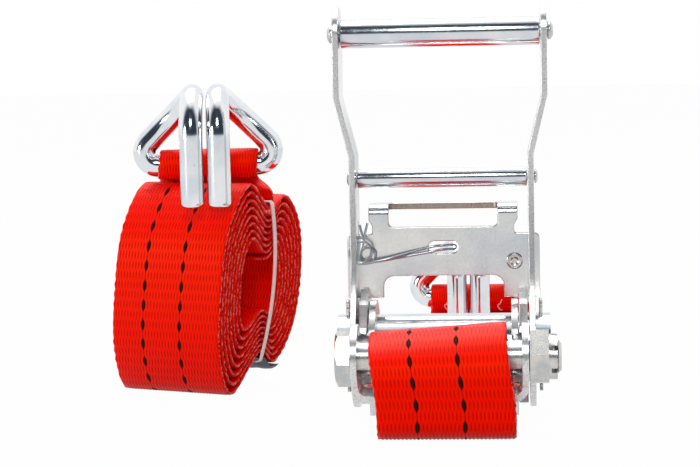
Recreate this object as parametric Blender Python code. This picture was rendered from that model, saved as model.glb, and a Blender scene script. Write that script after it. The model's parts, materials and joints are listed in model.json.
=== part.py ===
"""Ratchet tie down: a ratchet buckle with a hooked short strap, and a hooked long strap in a hank.

Metres, +Z up. The origin is on the floor under the middle of the spindle, X runs to the right and
Y to the back. Ratchet pieces are children of spindle_axis and are drawn from the spindle's middle.
"""
import math

import bmesh
import bpy
from mathutils import Vector

# Gaps
FIT = 0.0003
RUN = 0.0004
MERGE = 0.0000005

# Webbing
STRAP_WIDTH = 0.050
STRAP_THICK = 0.0015
PLY_STEP = 0.0021
STRAP_SIDE = 0.0010

# Base frame, folded from one sheet
SPINDLE_HEIGHT = 0.025
BASE_SHEET = 0.0025
BASE_CAP = 0.0179
BASE_BEND = 0.003
FOOT_HALF = 0.014
BASE_EDGE_Z = -0.013
WEB_TOP_Z = -0.0104
WEB_FRONT_REACH = 0.006
BOLT_END = 0.0125
BOLT_END_LOW = 205.0
BOLT_END_HIGH = 45.0
NOTCH_BACK = 0.020
NOTCH_UP = 0.005
LIP_HALF = 0.022
LIP_BEND = 0.001
LIP_TOP_Z = -0.0062
SLIT = 0.001
JOG_BACK = -0.026
JOG_FRONT = -0.034

# Spindle and wheels
SPINDLE_RADIUS = 0.0124
SPINDLE_SLOT = 0.006
SPINDLE_PROUD = 0.0058
WHEEL_THICK = 0.0033
WHEEL_CREST = 0.0226
WHEEL_ROOT = 0.017
TEETH = 11
TOOTH_START = 2.0
ROOT_SPAN = 6.0
CREST_SPAN = 6.0
PIN_PROUD = 0.0021
PIN_WIRE = 0.0007
PIN_LEG = 0.00095
PIN_HOLE = 0.002
PIN_HALF = 0.0176
PIN_EYE = 0.0016
PIN_EYE_GAP = 35.0
PIN_NECK = 0.0026
PIN_SPLAY = 0.0013

# Strap bolt, along X
BOLT_Y = -0.048
BOLT_Z = 0.0029
BOLT_RADIUS = 0.006
HEX_FLATS = 0.019
HEAD_FACE_IN = 0.0008
HEAD_THICK = 0.0055
NUT_HEX = 0.0069
NUT_COLLAR = 0.0031
NUT_COLLAR_RADIUS = 0.0083
NUT_SLOT_DEPTH = 0.0022
NUT_SLOT_HALF = 7.0
BOLT_PROUD = 0.0015
HEAD_TURN = 5.0
NUT_TURN = -12.0

# Handle
RIVET_SHOULDER = 0.6
HANDLE_SHEET = 0.0023
HANDLE_GAP = 0.0007
LOBE_RADIUS = 0.0238
ARM_HALF = 0.0105
TAPER_UP = 0.033
GRIP_UP = 0.121
SPACER_UP = 0.0653
CRANK = 0.0055
CRANK_LOW = 0.0744
CRANK_HIGH = 0.0969
GRIP_OUTER = 0.0054
GRIP_INNER = 0.0035
GRIP_RIVET = 0.0025
GRIP_RIVET_HEAD = 0.0035
GRIP_RIVET_PROUD = 0.0022
SPACER_OUTER = 0.00365
SPACER_INNER = 0.0021
SPACER_RIVET = 0.0018
SPACER_RIVET_HEAD = 0.0027
SPACER_RIVET_PROUD = 0.0012

# Drive pawl, a plate that slides up the handle
PAWL_SHEET = 0.0025
PAWL_FRONT = 0.001
PAWL_SIDE = 0.00035
PAWL_TIP = 0.0186
PAWL_TRAVEL = 0.0048
PAWL_EAR_TOP = 0.0434
EAR_PROUD = 0.002
PAWL_LEG = 0.0027
PAWL_ARCH = 0.0271
PAWL_NECK_HALF = 0.0275
PAWL_NECK_UP = 0.0468
PAWL_TOP_HALF = 0.0288
PAWL_BEND_UP = 0.0510
PAWL_BEND = 0.0014
LEDGE = 0.0081
FINGER_HALF = 0.0211
FINGER_LOW = 0.0461
FINGER_INTO_LEDGE = 0.0042
OVAL_UP = 0.0382
OVAL_LENGTH = 0.0116
OVAL_HEIGHT = 0.0048
STUD_IN = 0.0097
STUD_UP = 0.0326
STUD_RADIUS = 0.0018
STUD_HEAD = 0.0033
STUD_FACE = 0.0018
STUD_BACK_FACE = 0.0026
STUD_PROUD = 0.0009

# Drive pawl spring, one wire with two coils
SPRING_WIRE = 0.0005
COIL_A_IN = 0.0011
COIL_A_UP = 0.0374
COIL_A_RADIUS = 0.0043
COIL_A_FRONT = 0.0066
COIL_A_BACK = 0.004
COIL_A_LEAD = 0.0013
COIL_B_IN = 0.0037
COIL_B_UP = 0.0356
COIL_B_RADIUS = 0.003
COIL_B_FRONT = 0.0025
COIL_B_REACH = 0.0066
SPRING_END_UP = 0.048
SPRING_NOSE = 0.0008
SPRING_LEG_DROP = 0.0018
WINDOW_LOW = 0.0318
WINDOW_HIGH = 0.043
WINDOW_FRONT = -0.0074

# Lock pawl, a plate that slides in the base
LOCK_SHEET = 0.0025
LOCK_Z = -0.0083
LOCK_TRAVEL = 0.0042
LOCK_EAR_LENGTH = 0.0046
LOCK_BODY_LENGTH = 0.0068
LOCK_RECESS_HALF = 0.022
LOCK_RECESS = 0.004
STEM_X = 0.015
STEM_HALF = 0.00075
STEM_COIN = 0.6
LOCK_COIL = 0.00155
LOCK_WIRE = 0.00025
LOCK_CURLS = 7
CURL_POINTS = 9

# Double-J hooks
HOOK_WIRE = 0.0047
HOOK_CORNER = 0.0056
HOOK_ARM_ANGLE = 45.0
HOOK_STRAP_WIDTH = 0.040
HOOK_STAND = 0.0132
HOOK_ARCH = 0.0155
HOOK_SPREAD = 0.0058
HOOK_TIP = -0.015
TIP_RINGS = (90.0, 70.0, 48.0, 27.0)

# Short strap, in the side view
LOOP_TOP = 0.0385
INNER_ARC_REACH = 0.002
OUTER_ARC_REACH = 0.0016
LOOP_FOOT = 0.008
SEWN_END_Y = 0.015
FOLD_Y = 0.250
HOOK_Y = 0.205
SHORT_END_Y = 0.240
HOOK_PLY_Z = 0.0111
HOOK_END_SLOPE = 35.0
FRONT_SHIFT = 0.0026
MIDDLE_SHIFT = 0.0005
EASE_FRONT = -0.030
EASE_BACK = -0.014
TURN_START = 0.040
TURN_END = 0.100
REAR_TURN = 2.6
GATHER_NEAR = 0.009
GATHER_FAR = 0.035
LOOP_SKEW = 0.07
SKEW_LOW = 0.022
SKEW_HIGH = 0.038

# Hank of the long strap, in its own side view
HANK_X = -0.1160
HANK_Y = 0.0223
HANK_TURN = -22.0
HANK_LEAN = 0.11
HANK_LOOPS = 8
STEPS_PER_SPAN = 2
HANK_HOOK_Y = 0.0255
HANK_HOOK_Z = 0.094
HANK_HOOK_TURN = 28.0
TAIL_FOLD = 0.0021
TWIST_RISE = 0.003
HANK_WRAP = 240.0
BAND_WIDTH = 0.0024
BAND_THICK = 0.0008
BAND_Y = 0.0348
BAND_BULGE = 0.007
BAND_LOW = 0.0120
BAND_HIGH = 0.0785
BAND_CORNER = 0.0008
LABEL_THICK = 0.0008
LABEL_LEFT = -0.015
LABEL_RIGHT = 0.025
LABEL_STEPS = 6
# Where the label starts and how far it runs, counted in points of the outermost loop
LABEL_START = 4.85
LABEL_SPAN = 0.85

# The hank's outermost and innermost loops, as (y, z) points from the waist's top round the back
HANK_OUTER = [
    (0.0355, 0.0755), (0.0490, 0.0825), (0.0640, 0.0690), (0.0690, 0.0450),
    (0.0645, 0.0220), (0.0500, 0.0085), (0.0355, 0.0150), (0.0140, 0.0004),
    (0.0015, 0.0180), (-0.0012, 0.0440), (0.0022, 0.0700), (0.0172, 0.0867),
]
HANK_INNER = [
    (0.0345, 0.0548), (0.0425, 0.0580), (0.0462, 0.0525), (0.0475, 0.0445),
    (0.0460, 0.0362), (0.0428, 0.0312), (0.0350, 0.0345), (0.0232, 0.0290),
    (0.0182, 0.0339), (0.0170, 0.0432), (0.0182, 0.0545), (0.0238, 0.0616),
]

# Widths that follow from the chain of plates, measured from the middle
BASE_IN = STRAP_WIDTH / 2 + STRAP_SIDE
BASE_OUT = BASE_IN + BASE_SHEET
WHEEL_IN = BASE_OUT + RUN
WHEEL_OUT = WHEEL_IN + WHEEL_THICK
HANDLE_IN = WHEEL_OUT + HANDLE_GAP
HANDLE_OUT = HANDLE_IN + HANDLE_SHEET
FLARE_OUT = HANDLE_IN - FIT - RUN / 2
FLARE_IN = FLARE_OUT - BASE_SHEET
EAR_HALF = HANDLE_OUT + EAR_PROUD
SPINDLE_HALF = HANDLE_OUT + SPINDLE_PROUD
PIN_X = HANDLE_OUT + PIN_PROUD
BOLT_SEAT = FLARE_OUT + FIT
GRIP_HALF = HANDLE_IN + CRANK - FIT
SPACER_HALF = HANDLE_IN - FIT

# Lock pawl places that follow from the wheels and the handle's lobes
LOCK_HIGH_Z = LOCK_Z + LOCK_SHEET / 2
LOCK_REAR = -math.sqrt(WHEEL_CREST ** 2 - LOCK_HIGH_Z ** 2) - RUN
LOCK_EAR_REAR = -math.sqrt(LOBE_RADIUS ** 2 - LOCK_HIGH_Z ** 2) - 2 * HANDLE_GAP - RUN
LOCK_EAR_FRONT = LOCK_EAR_REAR - LOCK_EAR_LENGTH
LOCK_FRONT = LOCK_EAR_FRONT - LOCK_BODY_LENGTH
LOCK_SLOT_FRONT = LOCK_EAR_FRONT - LOCK_TRAVEL - RUN
LOCK_SLOT_REAR = LOCK_REAR + RUN

# Base folds that follow from the bolt and the lock pawl
BEND_MID = BASE_BEND + BASE_SHEET / 2
BEND_TOP_Z = WEB_TOP_Z + BASE_BEND
WEB_MID_Z = WEB_TOP_Z - BASE_SHEET / 2
BEND_X = FLARE_IN - BASE_BEND
BEND_ARC = BEND_MID * math.pi / 2
PLATE_START = BEND_X + BEND_ARC
WEB_FRONT = BOLT_Y - WEB_FRONT_REACH
WEB_REAR = LOCK_SLOT_FRONT - 3 * SLIT
LIP_MID = LIP_BEND + BASE_SHEET / 2
LIP_START = WEB_FRONT + BASE_SHEET / 2 + LIP_MID
LIP_ARC = LIP_MID * math.pi / 2
LIP_END = LIP_START - LIP_ARC - (LIP_TOP_Z - WEB_MID_Z - LIP_MID)
LIP_INNER = WEB_FRONT + BASE_SHEET

# Drive pawl places
PAWL_MID = PAWL_FRONT + PAWL_SHEET / 2
PAWL_BACK = PAWL_FRONT + PAWL_SHEET
PAWL_BEND_MID = PAWL_BEND + PAWL_SHEET / 2
PAWL_BEND_ARC = PAWL_BEND_MID * math.pi / 2
PAWL_END = PAWL_BEND_UP + PAWL_BEND_ARC + LEDGE
STUD_X = EAR_HALF - STUD_IN
COIL_A_X = -(HANDLE_IN - COIL_A_IN)
COIL_B_X = -(HANDLE_IN - COIL_B_IN)

# Strap heights
FLOOR_PLY_Z = STRAP_THICK / 2
SECOND_PLY_Z = FLOOR_PLY_Z + PLY_STEP
BOLT_PLY_Z = SPINDLE_HEIGHT + BOLT_Z - BOLT_RADIUS - FIT - STRAP_THICK / 2
HOOK_LOOP = HOOK_WIRE + FIT + STRAP_THICK / 2
REAR_HOOK_Z = HOOK_PLY_Z + HOOK_LOOP
HOOK_STRAIGHT = HOOK_STRAP_WIDTH / 2 + FIT

# Colours, roughness and metal
ZINC = ((0.70, 0.72, 0.75), 0.28, 1.0)
DULL_ZINC = ((0.58, 0.60, 0.63), 0.42, 1.0)
CHROME = ((0.80, 0.81, 0.84), 0.12, 1.0)
SPRING_STEEL = ((0.45, 0.46, 0.48), 0.30, 1.0)
RED_WEBBING = ((0.80, 0.03, 0.01), 0.75, 0.0)
WHITE_BAND = ((0.85, 0.85, 0.84), 0.60, 0.0)
GREY_LABEL = ((0.33, 0.37, 0.42), 0.55, 0.0)


def arc(centre, radius, start, end, steps):
    """Points of an arc, with angles in degrees from the first axis."""
    points = []
    for k in range(steps + 1):
        angle = math.radians(start + (end - start) * k / steps)
        points.append((centre[0] + radius * math.cos(angle), centre[1] + radius * math.sin(angle)))
    return points


def circle(centre, radius, steps):
    """Closed round outline."""
    return arc(centre, radius, 0.0, 360.0, steps)[:-1]


def rounded(corners, steps=4):
    """Closed outline whose corners, given as (a, b, radius), are filleted."""
    points = []
    for k, (a, b, radius) in enumerate(corners):
        here = Vector((a, b))
        before = (Vector(corners[k - 1][:2]) - here).normalized()
        after = (Vector(corners[(k + 1) % len(corners)][:2]) - here).normalized()
        if radius == 0:
            points.append((a, b))
            continue
        half = before.angle(after) / 2
        centre = here + (before + after).normalized() * radius / math.sin(half)
        first = here + before * radius / math.tan(half) - centre
        last = here + after * radius / math.tan(half) - centre
        start = math.degrees(math.atan2(first.y, first.x))
        turn = math.degrees(math.atan2(last.y, last.x)) - start
        turn = (turn + 180.0) % 360.0 - 180.0
        points += arc(centre, radius, start, start + turn, steps)
    return points


def ramp(value, low, high):
    """0 at low, 1 at high, straight between."""
    return min(1.0, max(0.0, (value - low) / (high - low)))


def ease(value, low, high):
    """0 at low, 1 at high, with a smooth start and end."""
    t = ramp(value, low, high)
    return t * t * (3 - 2 * t)


def mirrored(half):
    """Closed outline from the right half of one, given from one end of the middle line to the other."""
    return half + [(-a, b) for a, b in reversed(half)]


def sheet(outline, holes, thick, folds, place):
    """Solid of a flat pattern: filled, creased at the folds, thickened and then bent by place."""
    bm = bmesh.new()
    for loop in [outline] + holes:
        corners = [bm.verts.new((a, b, 0.0)) for a, b in loop]
        for k in range(len(corners)):
            bm.edges.new((corners[k - 1], corners[k]))
    bmesh.ops.triangle_fill(bm, use_beauty=True, edges=bm.edges[:])
    for point, normal in folds:
        geometry = bm.verts[:] + bm.edges[:] + bm.faces[:]
        bmesh.ops.bisect_plane(bm, geom=geometry, dist=MERGE, plane_co=point, plane_no=normal)
    grown = bmesh.ops.extrude_face_region(bm, geom=bm.faces[:])
    top = [item for item in grown["geom"] if isinstance(item, bmesh.types.BMVert)]
    bmesh.ops.translate(bm, verts=top, vec=(0.0, 0.0, thick))
    for vert in bm.verts:
        vert.co = place(vert.co.x, vert.co.y, vert.co.z - thick / 2)
    return bm


def fold_a(value):
    """Crease where the pattern's first coordinate has a value."""
    return (value, 0.0, 0.0), (1.0, 0.0, 0.0)


def fold_b(value):
    """Crease where the pattern's second coordinate has a value."""
    return (0.0, value, 0.0), (0.0, 1.0, 0.0)


def loft(rings, closed=False):
    """Solid through rings of equally many points, capped at the ends or joined round."""
    bm = bmesh.new()
    loops = [[bm.verts.new(point) for point in ring] for ring in rings]
    pairs = list(zip(loops, loops[1:]))
    if closed:
        pairs.append((loops[-1], loops[0]))
    else:
        bm.faces.new(loops[0])
        bm.faces.new(loops[-1])
    for near, far in pairs:
        for k in range(len(near)):
            bm.faces.new((near[k - 1], near[k], far[k], far[k - 1]))
    return bm


def ring_x(x, radius, steps, y=0.0, z=0.0):
    """Round ring across X."""
    return [(x, y + a, z + b) for a, b in circle((0.0, 0.0), radius, steps)]


def hex_ring(x, flats, steps, turn):
    """Hexagon across X, with steps points on each of its sides."""
    corners = circle((0.0, 0.0), flats / math.sqrt(3), 6)
    points = []
    for k in range(6):
        first = Vector(corners[k])
        last = Vector(corners[(k + 1) % 6])
        points += [first.lerp(last, j / steps) for j in range(steps)]
    cos = math.cos(math.radians(turn))
    sin = math.sin(math.radians(turn))
    return [(x, p.x * cos - p.y * sin, p.x * sin + p.y * cos) for p in points]


def add_object(name, data, look, parent):
    """Object with its own material, parented to an empty."""
    colour, roughness, metallic = look
    material = bpy.data.materials.new(name + "_finish")
    material.use_nodes = True
    shader = material.node_tree.nodes["Principled BSDF"]
    shader.inputs["Base Color"].default_value = (*colour, 1.0)
    shader.inputs["Roughness"].default_value = roughness
    shader.inputs["Metallic"].default_value = metallic
    data.materials.append(material)
    item = bpy.data.objects.new(name, data)
    item.parent = parent
    bpy.context.scene.collection.objects.link(item)
    return item


def add_mesh(name, bm, look, parent):
    """Object from a bmesh, with its doubles merged, its faces outward and its round faces smooth."""
    bmesh.ops.remove_doubles(bm, verts=bm.verts[:], dist=MERGE)
    bmesh.ops.recalc_face_normals(bm, faces=bm.faces[:])
    mesh = bpy.data.meshes.new(name)
    bm.to_mesh(mesh)
    bm.free()
    mesh.shade_smooth()
    mesh.set_sharp_from_angle(angle=math.radians(35))
    return add_object(name, mesh, look, parent)


def add_wire(name, points, radius, resolution, look, parent, radii=None):
    """Round wire along a list of points, with closed ends."""
    curve = bpy.data.curves.new(name, "CURVE")
    curve.dimensions = "3D"
    curve.bevel_depth = radius
    curve.bevel_resolution = resolution
    curve.use_fill_caps = True
    spline = curve.splines.new("POLY")
    spline.points.add(len(points) - 1)
    for k, point in enumerate(points):
        spline.points[k].co = (*point, 1.0)
        if radii:
            spline.points[k].radius = radii[k]
    return add_object(name, curve, look, parent)


def add_empty(name, location, turn=0.0, parent=None):
    """Axis or place that pieces hang from, turned about Z in degrees."""
    item = bpy.data.objects.new(name, None)
    item.location = location
    item.rotation_euler = (0.0, 0.0, math.radians(turn))
    item.parent = parent
    bpy.context.scene.collection.objects.link(item)
    return item


def ribbon(path, thick, station):
    """Flat band along a side-view path of (y, z) points.

    station(k, y, z) gives its left and right edges there, and the function that bends it in plan.
    """
    rings = []
    for k, (y, z) in enumerate(path):
        before = path[max(k - 1, 0)]
        after = path[min(k + 1, len(path) - 1)]
        along = (Vector(after) - Vector(before)).normalized() * thick / 2
        left, right, place = station(k, y, z)
        rings.append([
            place(across, y + side * along.y, z - side * along.x)
            for across, side in ((left, -1), (right, -1), (right, 1), (left, 1))
        ])
    return loft(rings)


def report_gap(name, path, size):
    """Print the least gap of a winding to itself, measured from its points to its stretches."""
    points = [Vector(point) for point in path]
    reach = [0.0]
    for near, far in zip(points, points[1:]):
        reach.append(reach[-1] + (far - near).length)
    least = reach[-1]
    for k, point in enumerate(points):
        for j in range(len(points) - 1):
            if min(abs(reach[j] - reach[k]), abs(reach[j + 1] - reach[k])) < 4 * size:
                continue
            run = points[j + 1] - points[j]
            share = ramp((point - points[j]).dot(run) / run.length_squared, 0.0, 1.0)
            least = min(least, (points[j] + run * share - point).length)
    print(f"{name}: {reach[-1]:.3f} m long, least gap to itself {(least - size) * 1000:.2f} mm")


def base_flare(y):
    """How far the side plates stand out at a place along the base."""
    return (FLARE_IN - BASE_IN) * ramp(-y, -JOG_BACK, -JOG_FRONT)


def place_base(p, y, n):
    """Fold the base pattern: p runs across it from the middle, y along it, n out of the sheet."""
    side = 1.0 if p >= 0 else -1.0
    down = PLATE_START - abs(p)
    if down <= 0 or y > WEB_REAR + SLIT / 2:
        return side * (BASE_IN + BASE_SHEET / 2 + n + base_flare(y)), y, BEND_TOP_Z - down
    if down < BEND_ARC:
        angle = down / BEND_MID
        x = BEND_X + (BEND_MID + n) * math.cos(angle)
        return side * x, y, BEND_TOP_Z - (BEND_MID + n) * math.sin(angle)
    past = LIP_START - y
    if past <= 0 or abs(p) > LIP_HALF + SLIT / 2:
        return p, y, WEB_MID_Z - n
    angle = min(past / LIP_MID, math.pi / 2)
    up = max(0.0, past - LIP_ARC)
    lip_y = LIP_START - (LIP_MID + n) * math.sin(angle)
    return p, lip_y, WEB_MID_Z + LIP_MID - (LIP_MID + n) * math.cos(angle) + up


def make_base(spindle_axis):
    """Base frame: two side plates, the web between them and the folded front lip."""
    bolt_centre = (BOLT_Y, BOLT_Z)
    edge = [(WEB_FRONT, BEND_TOP_Z)]
    edge += arc(bolt_centre, BOLT_END, BOLT_END_LOW, BOLT_END_HIGH, 16)
    edge += [(BOLT_Y + NOTCH_BACK, BOLT_Z + NOTCH_UP)]
    edge += [(-BASE_CAP * math.cos(math.radians(a)), BASE_CAP * math.sin(math.radians(a)))
             for a in range(28, 191, 9)]
    edge += [(FOOT_HALF, -SPINDLE_HEIGHT), (-FOOT_HALF, -SPINDLE_HEIGHT)]
    edge += [(-FOOT_HALF - BASE_SHEET * 2, BASE_EDGE_Z), (WEB_REAR + SLIT, BASE_EDGE_Z)]
    edge += [(WEB_REAR + SLIT, BEND_TOP_Z + SLIT), (WEB_REAR, BEND_TOP_Z + SLIT)]
    slit_end = LIP_START + SLIT
    right = [(LIP_HALF, LIP_END), (LIP_HALF, slit_end)]
    right += [(LIP_HALF + SLIT, slit_end), (LIP_HALF + SLIT, WEB_FRONT)]
    right += [(PLATE_START + z - BEND_TOP_Z, y) for y, z in edge]

    slot_low = LOCK_Z - LOCK_SHEET / 2 - PAWL_SIDE
    slot_high = LOCK_Z + LOCK_SHEET / 2 + PAWL_SIDE
    slot = [(LOCK_SLOT_FRONT, slot_low), (LOCK_SLOT_REAR, slot_low)]
    slot += [(LOCK_SLOT_REAR, slot_high), (LOCK_SLOT_FRONT, slot_high)]
    bolt_hole = circle(bolt_centre, BOLT_RADIUS + FIT, 24)
    spindle_hole = circle((0.0, 0.0), SPINDLE_RADIUS + RUN, 36)
    holes = []
    for side in (1.0, -1.0):
        for hole in (slot, bolt_hole, spindle_hole):
            holes.append([(side * (PLATE_START + z - BEND_TOP_Z), y) for y, z in hole])

    folds = [fold_b(JOG_BACK), fold_b(JOG_FRONT)]
    for k in range(4):
        folds += [fold_a(PLATE_START - BEND_ARC * k / 3), fold_a(BEND_ARC * k / 3 - PLATE_START)]
        folds.append(fold_b(LIP_START - LIP_ARC * k / 3))
    bm = sheet(mirrored(right), holes, BASE_SHEET, folds, place_base)
    add_mesh("base_frame", bm, ZINC, spindle_axis)


def make_bolt(bolt_axis):
    """Strap bolt with its hex head on the left, and its slotted nut on the right."""
    sides = 4
    steps = 6 * sides
    nut_face = BOLT_SEAT + NUT_HEX
    nut_end = nut_face + NUT_COLLAR
    bolt_end = nut_end + BOLT_PROUD
    rings = [
        ring_x(-BOLT_SEAT - HEAD_THICK, HEX_FLATS / 2 - HEAD_FACE_IN, steps),
        hex_ring(-BOLT_SEAT - HEAD_THICK + STRAP_SIDE, HEX_FLATS, sides, HEAD_TURN),
        hex_ring(-BOLT_SEAT, HEX_FLATS, sides, HEAD_TURN),
        ring_x(-BOLT_SEAT, BOLT_RADIUS, steps),
        ring_x(bolt_end - STRAP_SIDE, BOLT_RADIUS, steps),
        ring_x(bolt_end, BOLT_RADIUS - STRAP_SIDE, steps),
    ]
    add_mesh("strap_bolt", loft(rings), DULL_ZINC, bolt_axis)

    bore = BOLT_RADIUS + FIT
    rings = [
        hex_ring(BOLT_SEAT, HEX_FLATS, 8, NUT_TURN),
        hex_ring(nut_face, HEX_FLATS, 8, NUT_TURN),
        ring_x(nut_face, NUT_COLLAR_RADIUS, 48),
        castle_ring(nut_end, NUT_COLLAR_RADIUS),
        castle_ring(nut_end, bore),
        ring_x(BOLT_SEAT, bore, 48),
    ]
    add_mesh("strap_bolt_nut", loft(rings, closed=True), ZINC, bolt_axis)


def castle_ring(x, radius):
    """Round ring across X with six slots cut back into it, eight points to a sixth of a turn."""
    slot_half = NUT_SLOT_HALF
    points = []
    for sixth in range(6):
        for offset, deep in ((-30, 0), (-18, 0), (-slot_half, 0), (-slot_half, 1),
                             (slot_half, 1), (slot_half, 0), (16, 0), (23, 0)):
            angle = math.radians(60.0 * sixth + 30.0 + offset)
            points.append((x - deep * NUT_SLOT_DEPTH, radius * math.cos(angle), radius * math.sin(angle)))
    return points


def wheel_outline():
    """Toothed outline in (y, z): each tooth has a radial back face and a long sloping front."""
    pitch = 360.0 / TEETH
    points = []
    for tooth in range(TEETH):
        start = TOOTH_START + tooth * pitch
        for radius, angle in (
            (WHEEL_CREST, start),
            (WHEEL_ROOT, start),
            (WHEEL_ROOT, start + ROOT_SPAN),
            (WHEEL_CREST, start + pitch - CREST_SPAN),
        ):
            turn = math.radians(angle)
            points.append((radius * math.sin(turn), radius * math.cos(turn)))
    return points


def half_moon(radius, flat):
    """Outline of a half-round bar above a flat."""
    rise = math.degrees(math.asin(flat / radius))
    return arc((0.0, 0.0), radius, rise, 180.0 - rise, 18)


def make_spindle(spindle_axis):
    """Take-up spindle: two half-round bars, the toothed wheels on them and the split pins."""
    upper_hole = half_moon(SPINDLE_RADIUS + FIT, SPINDLE_SLOT / 2 - FIT)
    lower_hole = [(a, -b) for a, b in upper_hole]
    for name, side in (("ratchet_wheel_left", -1.0), ("ratchet_wheel_right", 1.0)):
        middle = side * (WHEEL_IN + WHEEL_OUT) / 2
        bm = sheet(wheel_outline(), [upper_hole, lower_hole], WHEEL_THICK, [],
                   lambda a, b, n: (middle + n, a, b))
        add_mesh(name, bm, DULL_ZINC, spindle_axis)

    drill = bmesh.new()
    for side in (-1.0, 1.0):
        made = bmesh.ops.create_cone(drill, cap_ends=True, segments=16, radius1=PIN_HOLE,
                                     radius2=PIN_HOLE, depth=2 * SPINDLE_HEIGHT)
        bmesh.ops.translate(drill, verts=made["verts"], vec=(side * PIN_X, 0.0, 0.0))
    cutter = add_mesh("pin_drill", drill, ZINC, spindle_axis)
    cutter.hide_render = True
    cutter.display_type = "WIRE"

    profile = half_moon(SPINDLE_RADIUS, SPINDLE_SLOT / 2)
    for name, side in (("spindle_half_upper", 1.0), ("spindle_half_lower", -1.0)):
        bm = loft([[(x, a, side * b) for a, b in profile] for x in (-SPINDLE_HALF, SPINDLE_HALF)])
        bar = add_mesh(name, bm, ZINC, spindle_axis)
        cut = bar.modifiers.new("pin_holes", "BOOLEAN")
        cut.operation = "DIFFERENCE"
        cut.solver = "EXACT"
        cut.object = cutter

    eye_z = PIN_HALF - PIN_EYE
    side_view = [(-PIN_LEG - PIN_SPLAY, -PIN_HALF), (-PIN_LEG, -PIN_HALF + 4 * PIN_SPLAY)]
    side_view += [(-PIN_LEG, eye_z - PIN_NECK)]
    side_view += arc((0.0, eye_z), PIN_EYE, 180.0 + PIN_EYE_GAP, -PIN_EYE_GAP, 10)
    side_view += [(PIN_LEG, eye_z - PIN_NECK)]
    side_view += [(PIN_LEG, -PIN_HALF + 4 * PIN_SPLAY), (PIN_LEG + PIN_SPLAY, -PIN_HALF)]
    for name, side in (("split_pin_left", -1.0), ("split_pin_right", 1.0)):
        add_wire(name, [(side * PIN_X, y, z) for y, z in side_view], PIN_WIRE, 2, ZINC, spindle_axis)


def crank(up):
    """How far the handle plates stand out at a height above the spindle."""
    return CRANK * ramp(up, CRANK_LOW, CRANK_HIGH)


def make_handle(spindle_axis):
    """Handle: two cranked plates, the grip and spacer tubes and their rivets."""
    leave = math.atan2(ARM_HALF, TAPER_UP)
    leave += math.acos(LOBE_RADIUS / math.hypot(ARM_HALF, TAPER_UP))
    low = math.degrees(leave)
    outline = arc((0.0, GRIP_UP), ARM_HALF, 0.0, 180.0, 16) + [(-ARM_HALF, TAPER_UP)]
    outline += arc((0.0, 0.0), LOBE_RADIUS, 90.0 + low, 450.0 - low, 30) + [(ARM_HALF, TAPER_UP)]

    front = PAWL_FRONT - PAWL_SIDE
    back = PAWL_BACK + PAWL_SIDE
    slot_low = PAWL_TIP - RUN
    slot_high = PAWL_EAR_TOP + PAWL_TRAVEL + RUN
    right_slot = [(front, slot_low), (back, slot_low), (back, slot_high), (front, slot_high)]
    left_slot = right_slot + [(front, WINDOW_HIGH), (WINDOW_FRONT, WINDOW_HIGH)]
    left_slot += [(WINDOW_FRONT, WINDOW_LOW), (front, WINDOW_LOW)]
    holes = [
        circle((0.0, 0.0), SPINDLE_RADIUS + RUN, 36),
        circle((0.0, SPACER_UP), SPACER_RIVET + FIT, 16),
        circle((0.0, GRIP_UP), GRIP_RIVET + FIT, 16),
    ]
    folds = [fold_b(CRANK_LOW), fold_b(CRANK_HIGH)]
    middle = HANDLE_IN + HANDLE_SHEET / 2
    for name, side, slot in (("handle_plate_left", -1.0, left_slot), ("handle_plate_right", 1.0, right_slot)):
        bm = sheet(outline, holes + [slot], HANDLE_SHEET, folds,
                   lambda a, b, n: (side * (middle + n + crank(b)), a, b))
        add_mesh(name, bm, ZINC, spindle_axis)

    add_tube("grip_tube", GRIP_HALF, GRIP_OUTER, GRIP_INNER, GRIP_UP, CHROME, spindle_axis)
    add_tube("spacer_tube", SPACER_HALF, SPACER_OUTER, SPACER_INNER, SPACER_UP, CHROME, spindle_axis)
    add_rivet("grip_rivet", HANDLE_OUT + CRANK, GRIP_RIVET, GRIP_RIVET_HEAD, GRIP_RIVET_PROUD,
              GRIP_UP, spindle_axis)
    add_rivet("spacer_rivet", HANDLE_OUT, SPACER_RIVET, SPACER_RIVET_HEAD, SPACER_RIVET_PROUD,
              SPACER_UP, spindle_axis)


def add_tube(name, half, outer, inner, up, look, parent):
    """Tube across the handle at a height above the spindle."""
    profile = [(-half, outer), (half, outer), (half, inner), (-half, inner)]
    rings = [ring_x(x, radius, 24, z=up) for x, radius in profile]
    add_mesh(name, loft(rings, closed=True), look, parent)


def add_rivet(name, seat, shank, head, proud, up, parent):
    """Rivet through both handle plates, with a low domed head outside each."""
    face = seat + FIT
    side = [(face, shank), (face, head)]
    side += [(face + RIVET_SHOULDER * proud, head), (face + proud, RIVET_SHOULDER * head)]
    profile = [(-x, radius) for x, radius in reversed(side)] + side
    add_mesh(name, loft([ring_x(x, radius, 20, z=up) for x, radius in profile]), ZINC, parent)


def place_pawl(x, s, n):
    """Bend the pawl's plate: s runs up its face and then back along its ledge."""
    past = s - PAWL_BEND_UP
    if past <= 0:
        return x, PAWL_MID + n, s
    angle = min(past / PAWL_BEND_MID, math.pi / 2)
    back = max(0.0, past - PAWL_BEND_ARC)
    y = PAWL_MID + PAWL_BEND_MID - (PAWL_BEND_MID - n) * math.cos(angle) + back
    return x, y, PAWL_BEND_UP + (PAWL_BEND_MID - n) * math.sin(angle)


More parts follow.
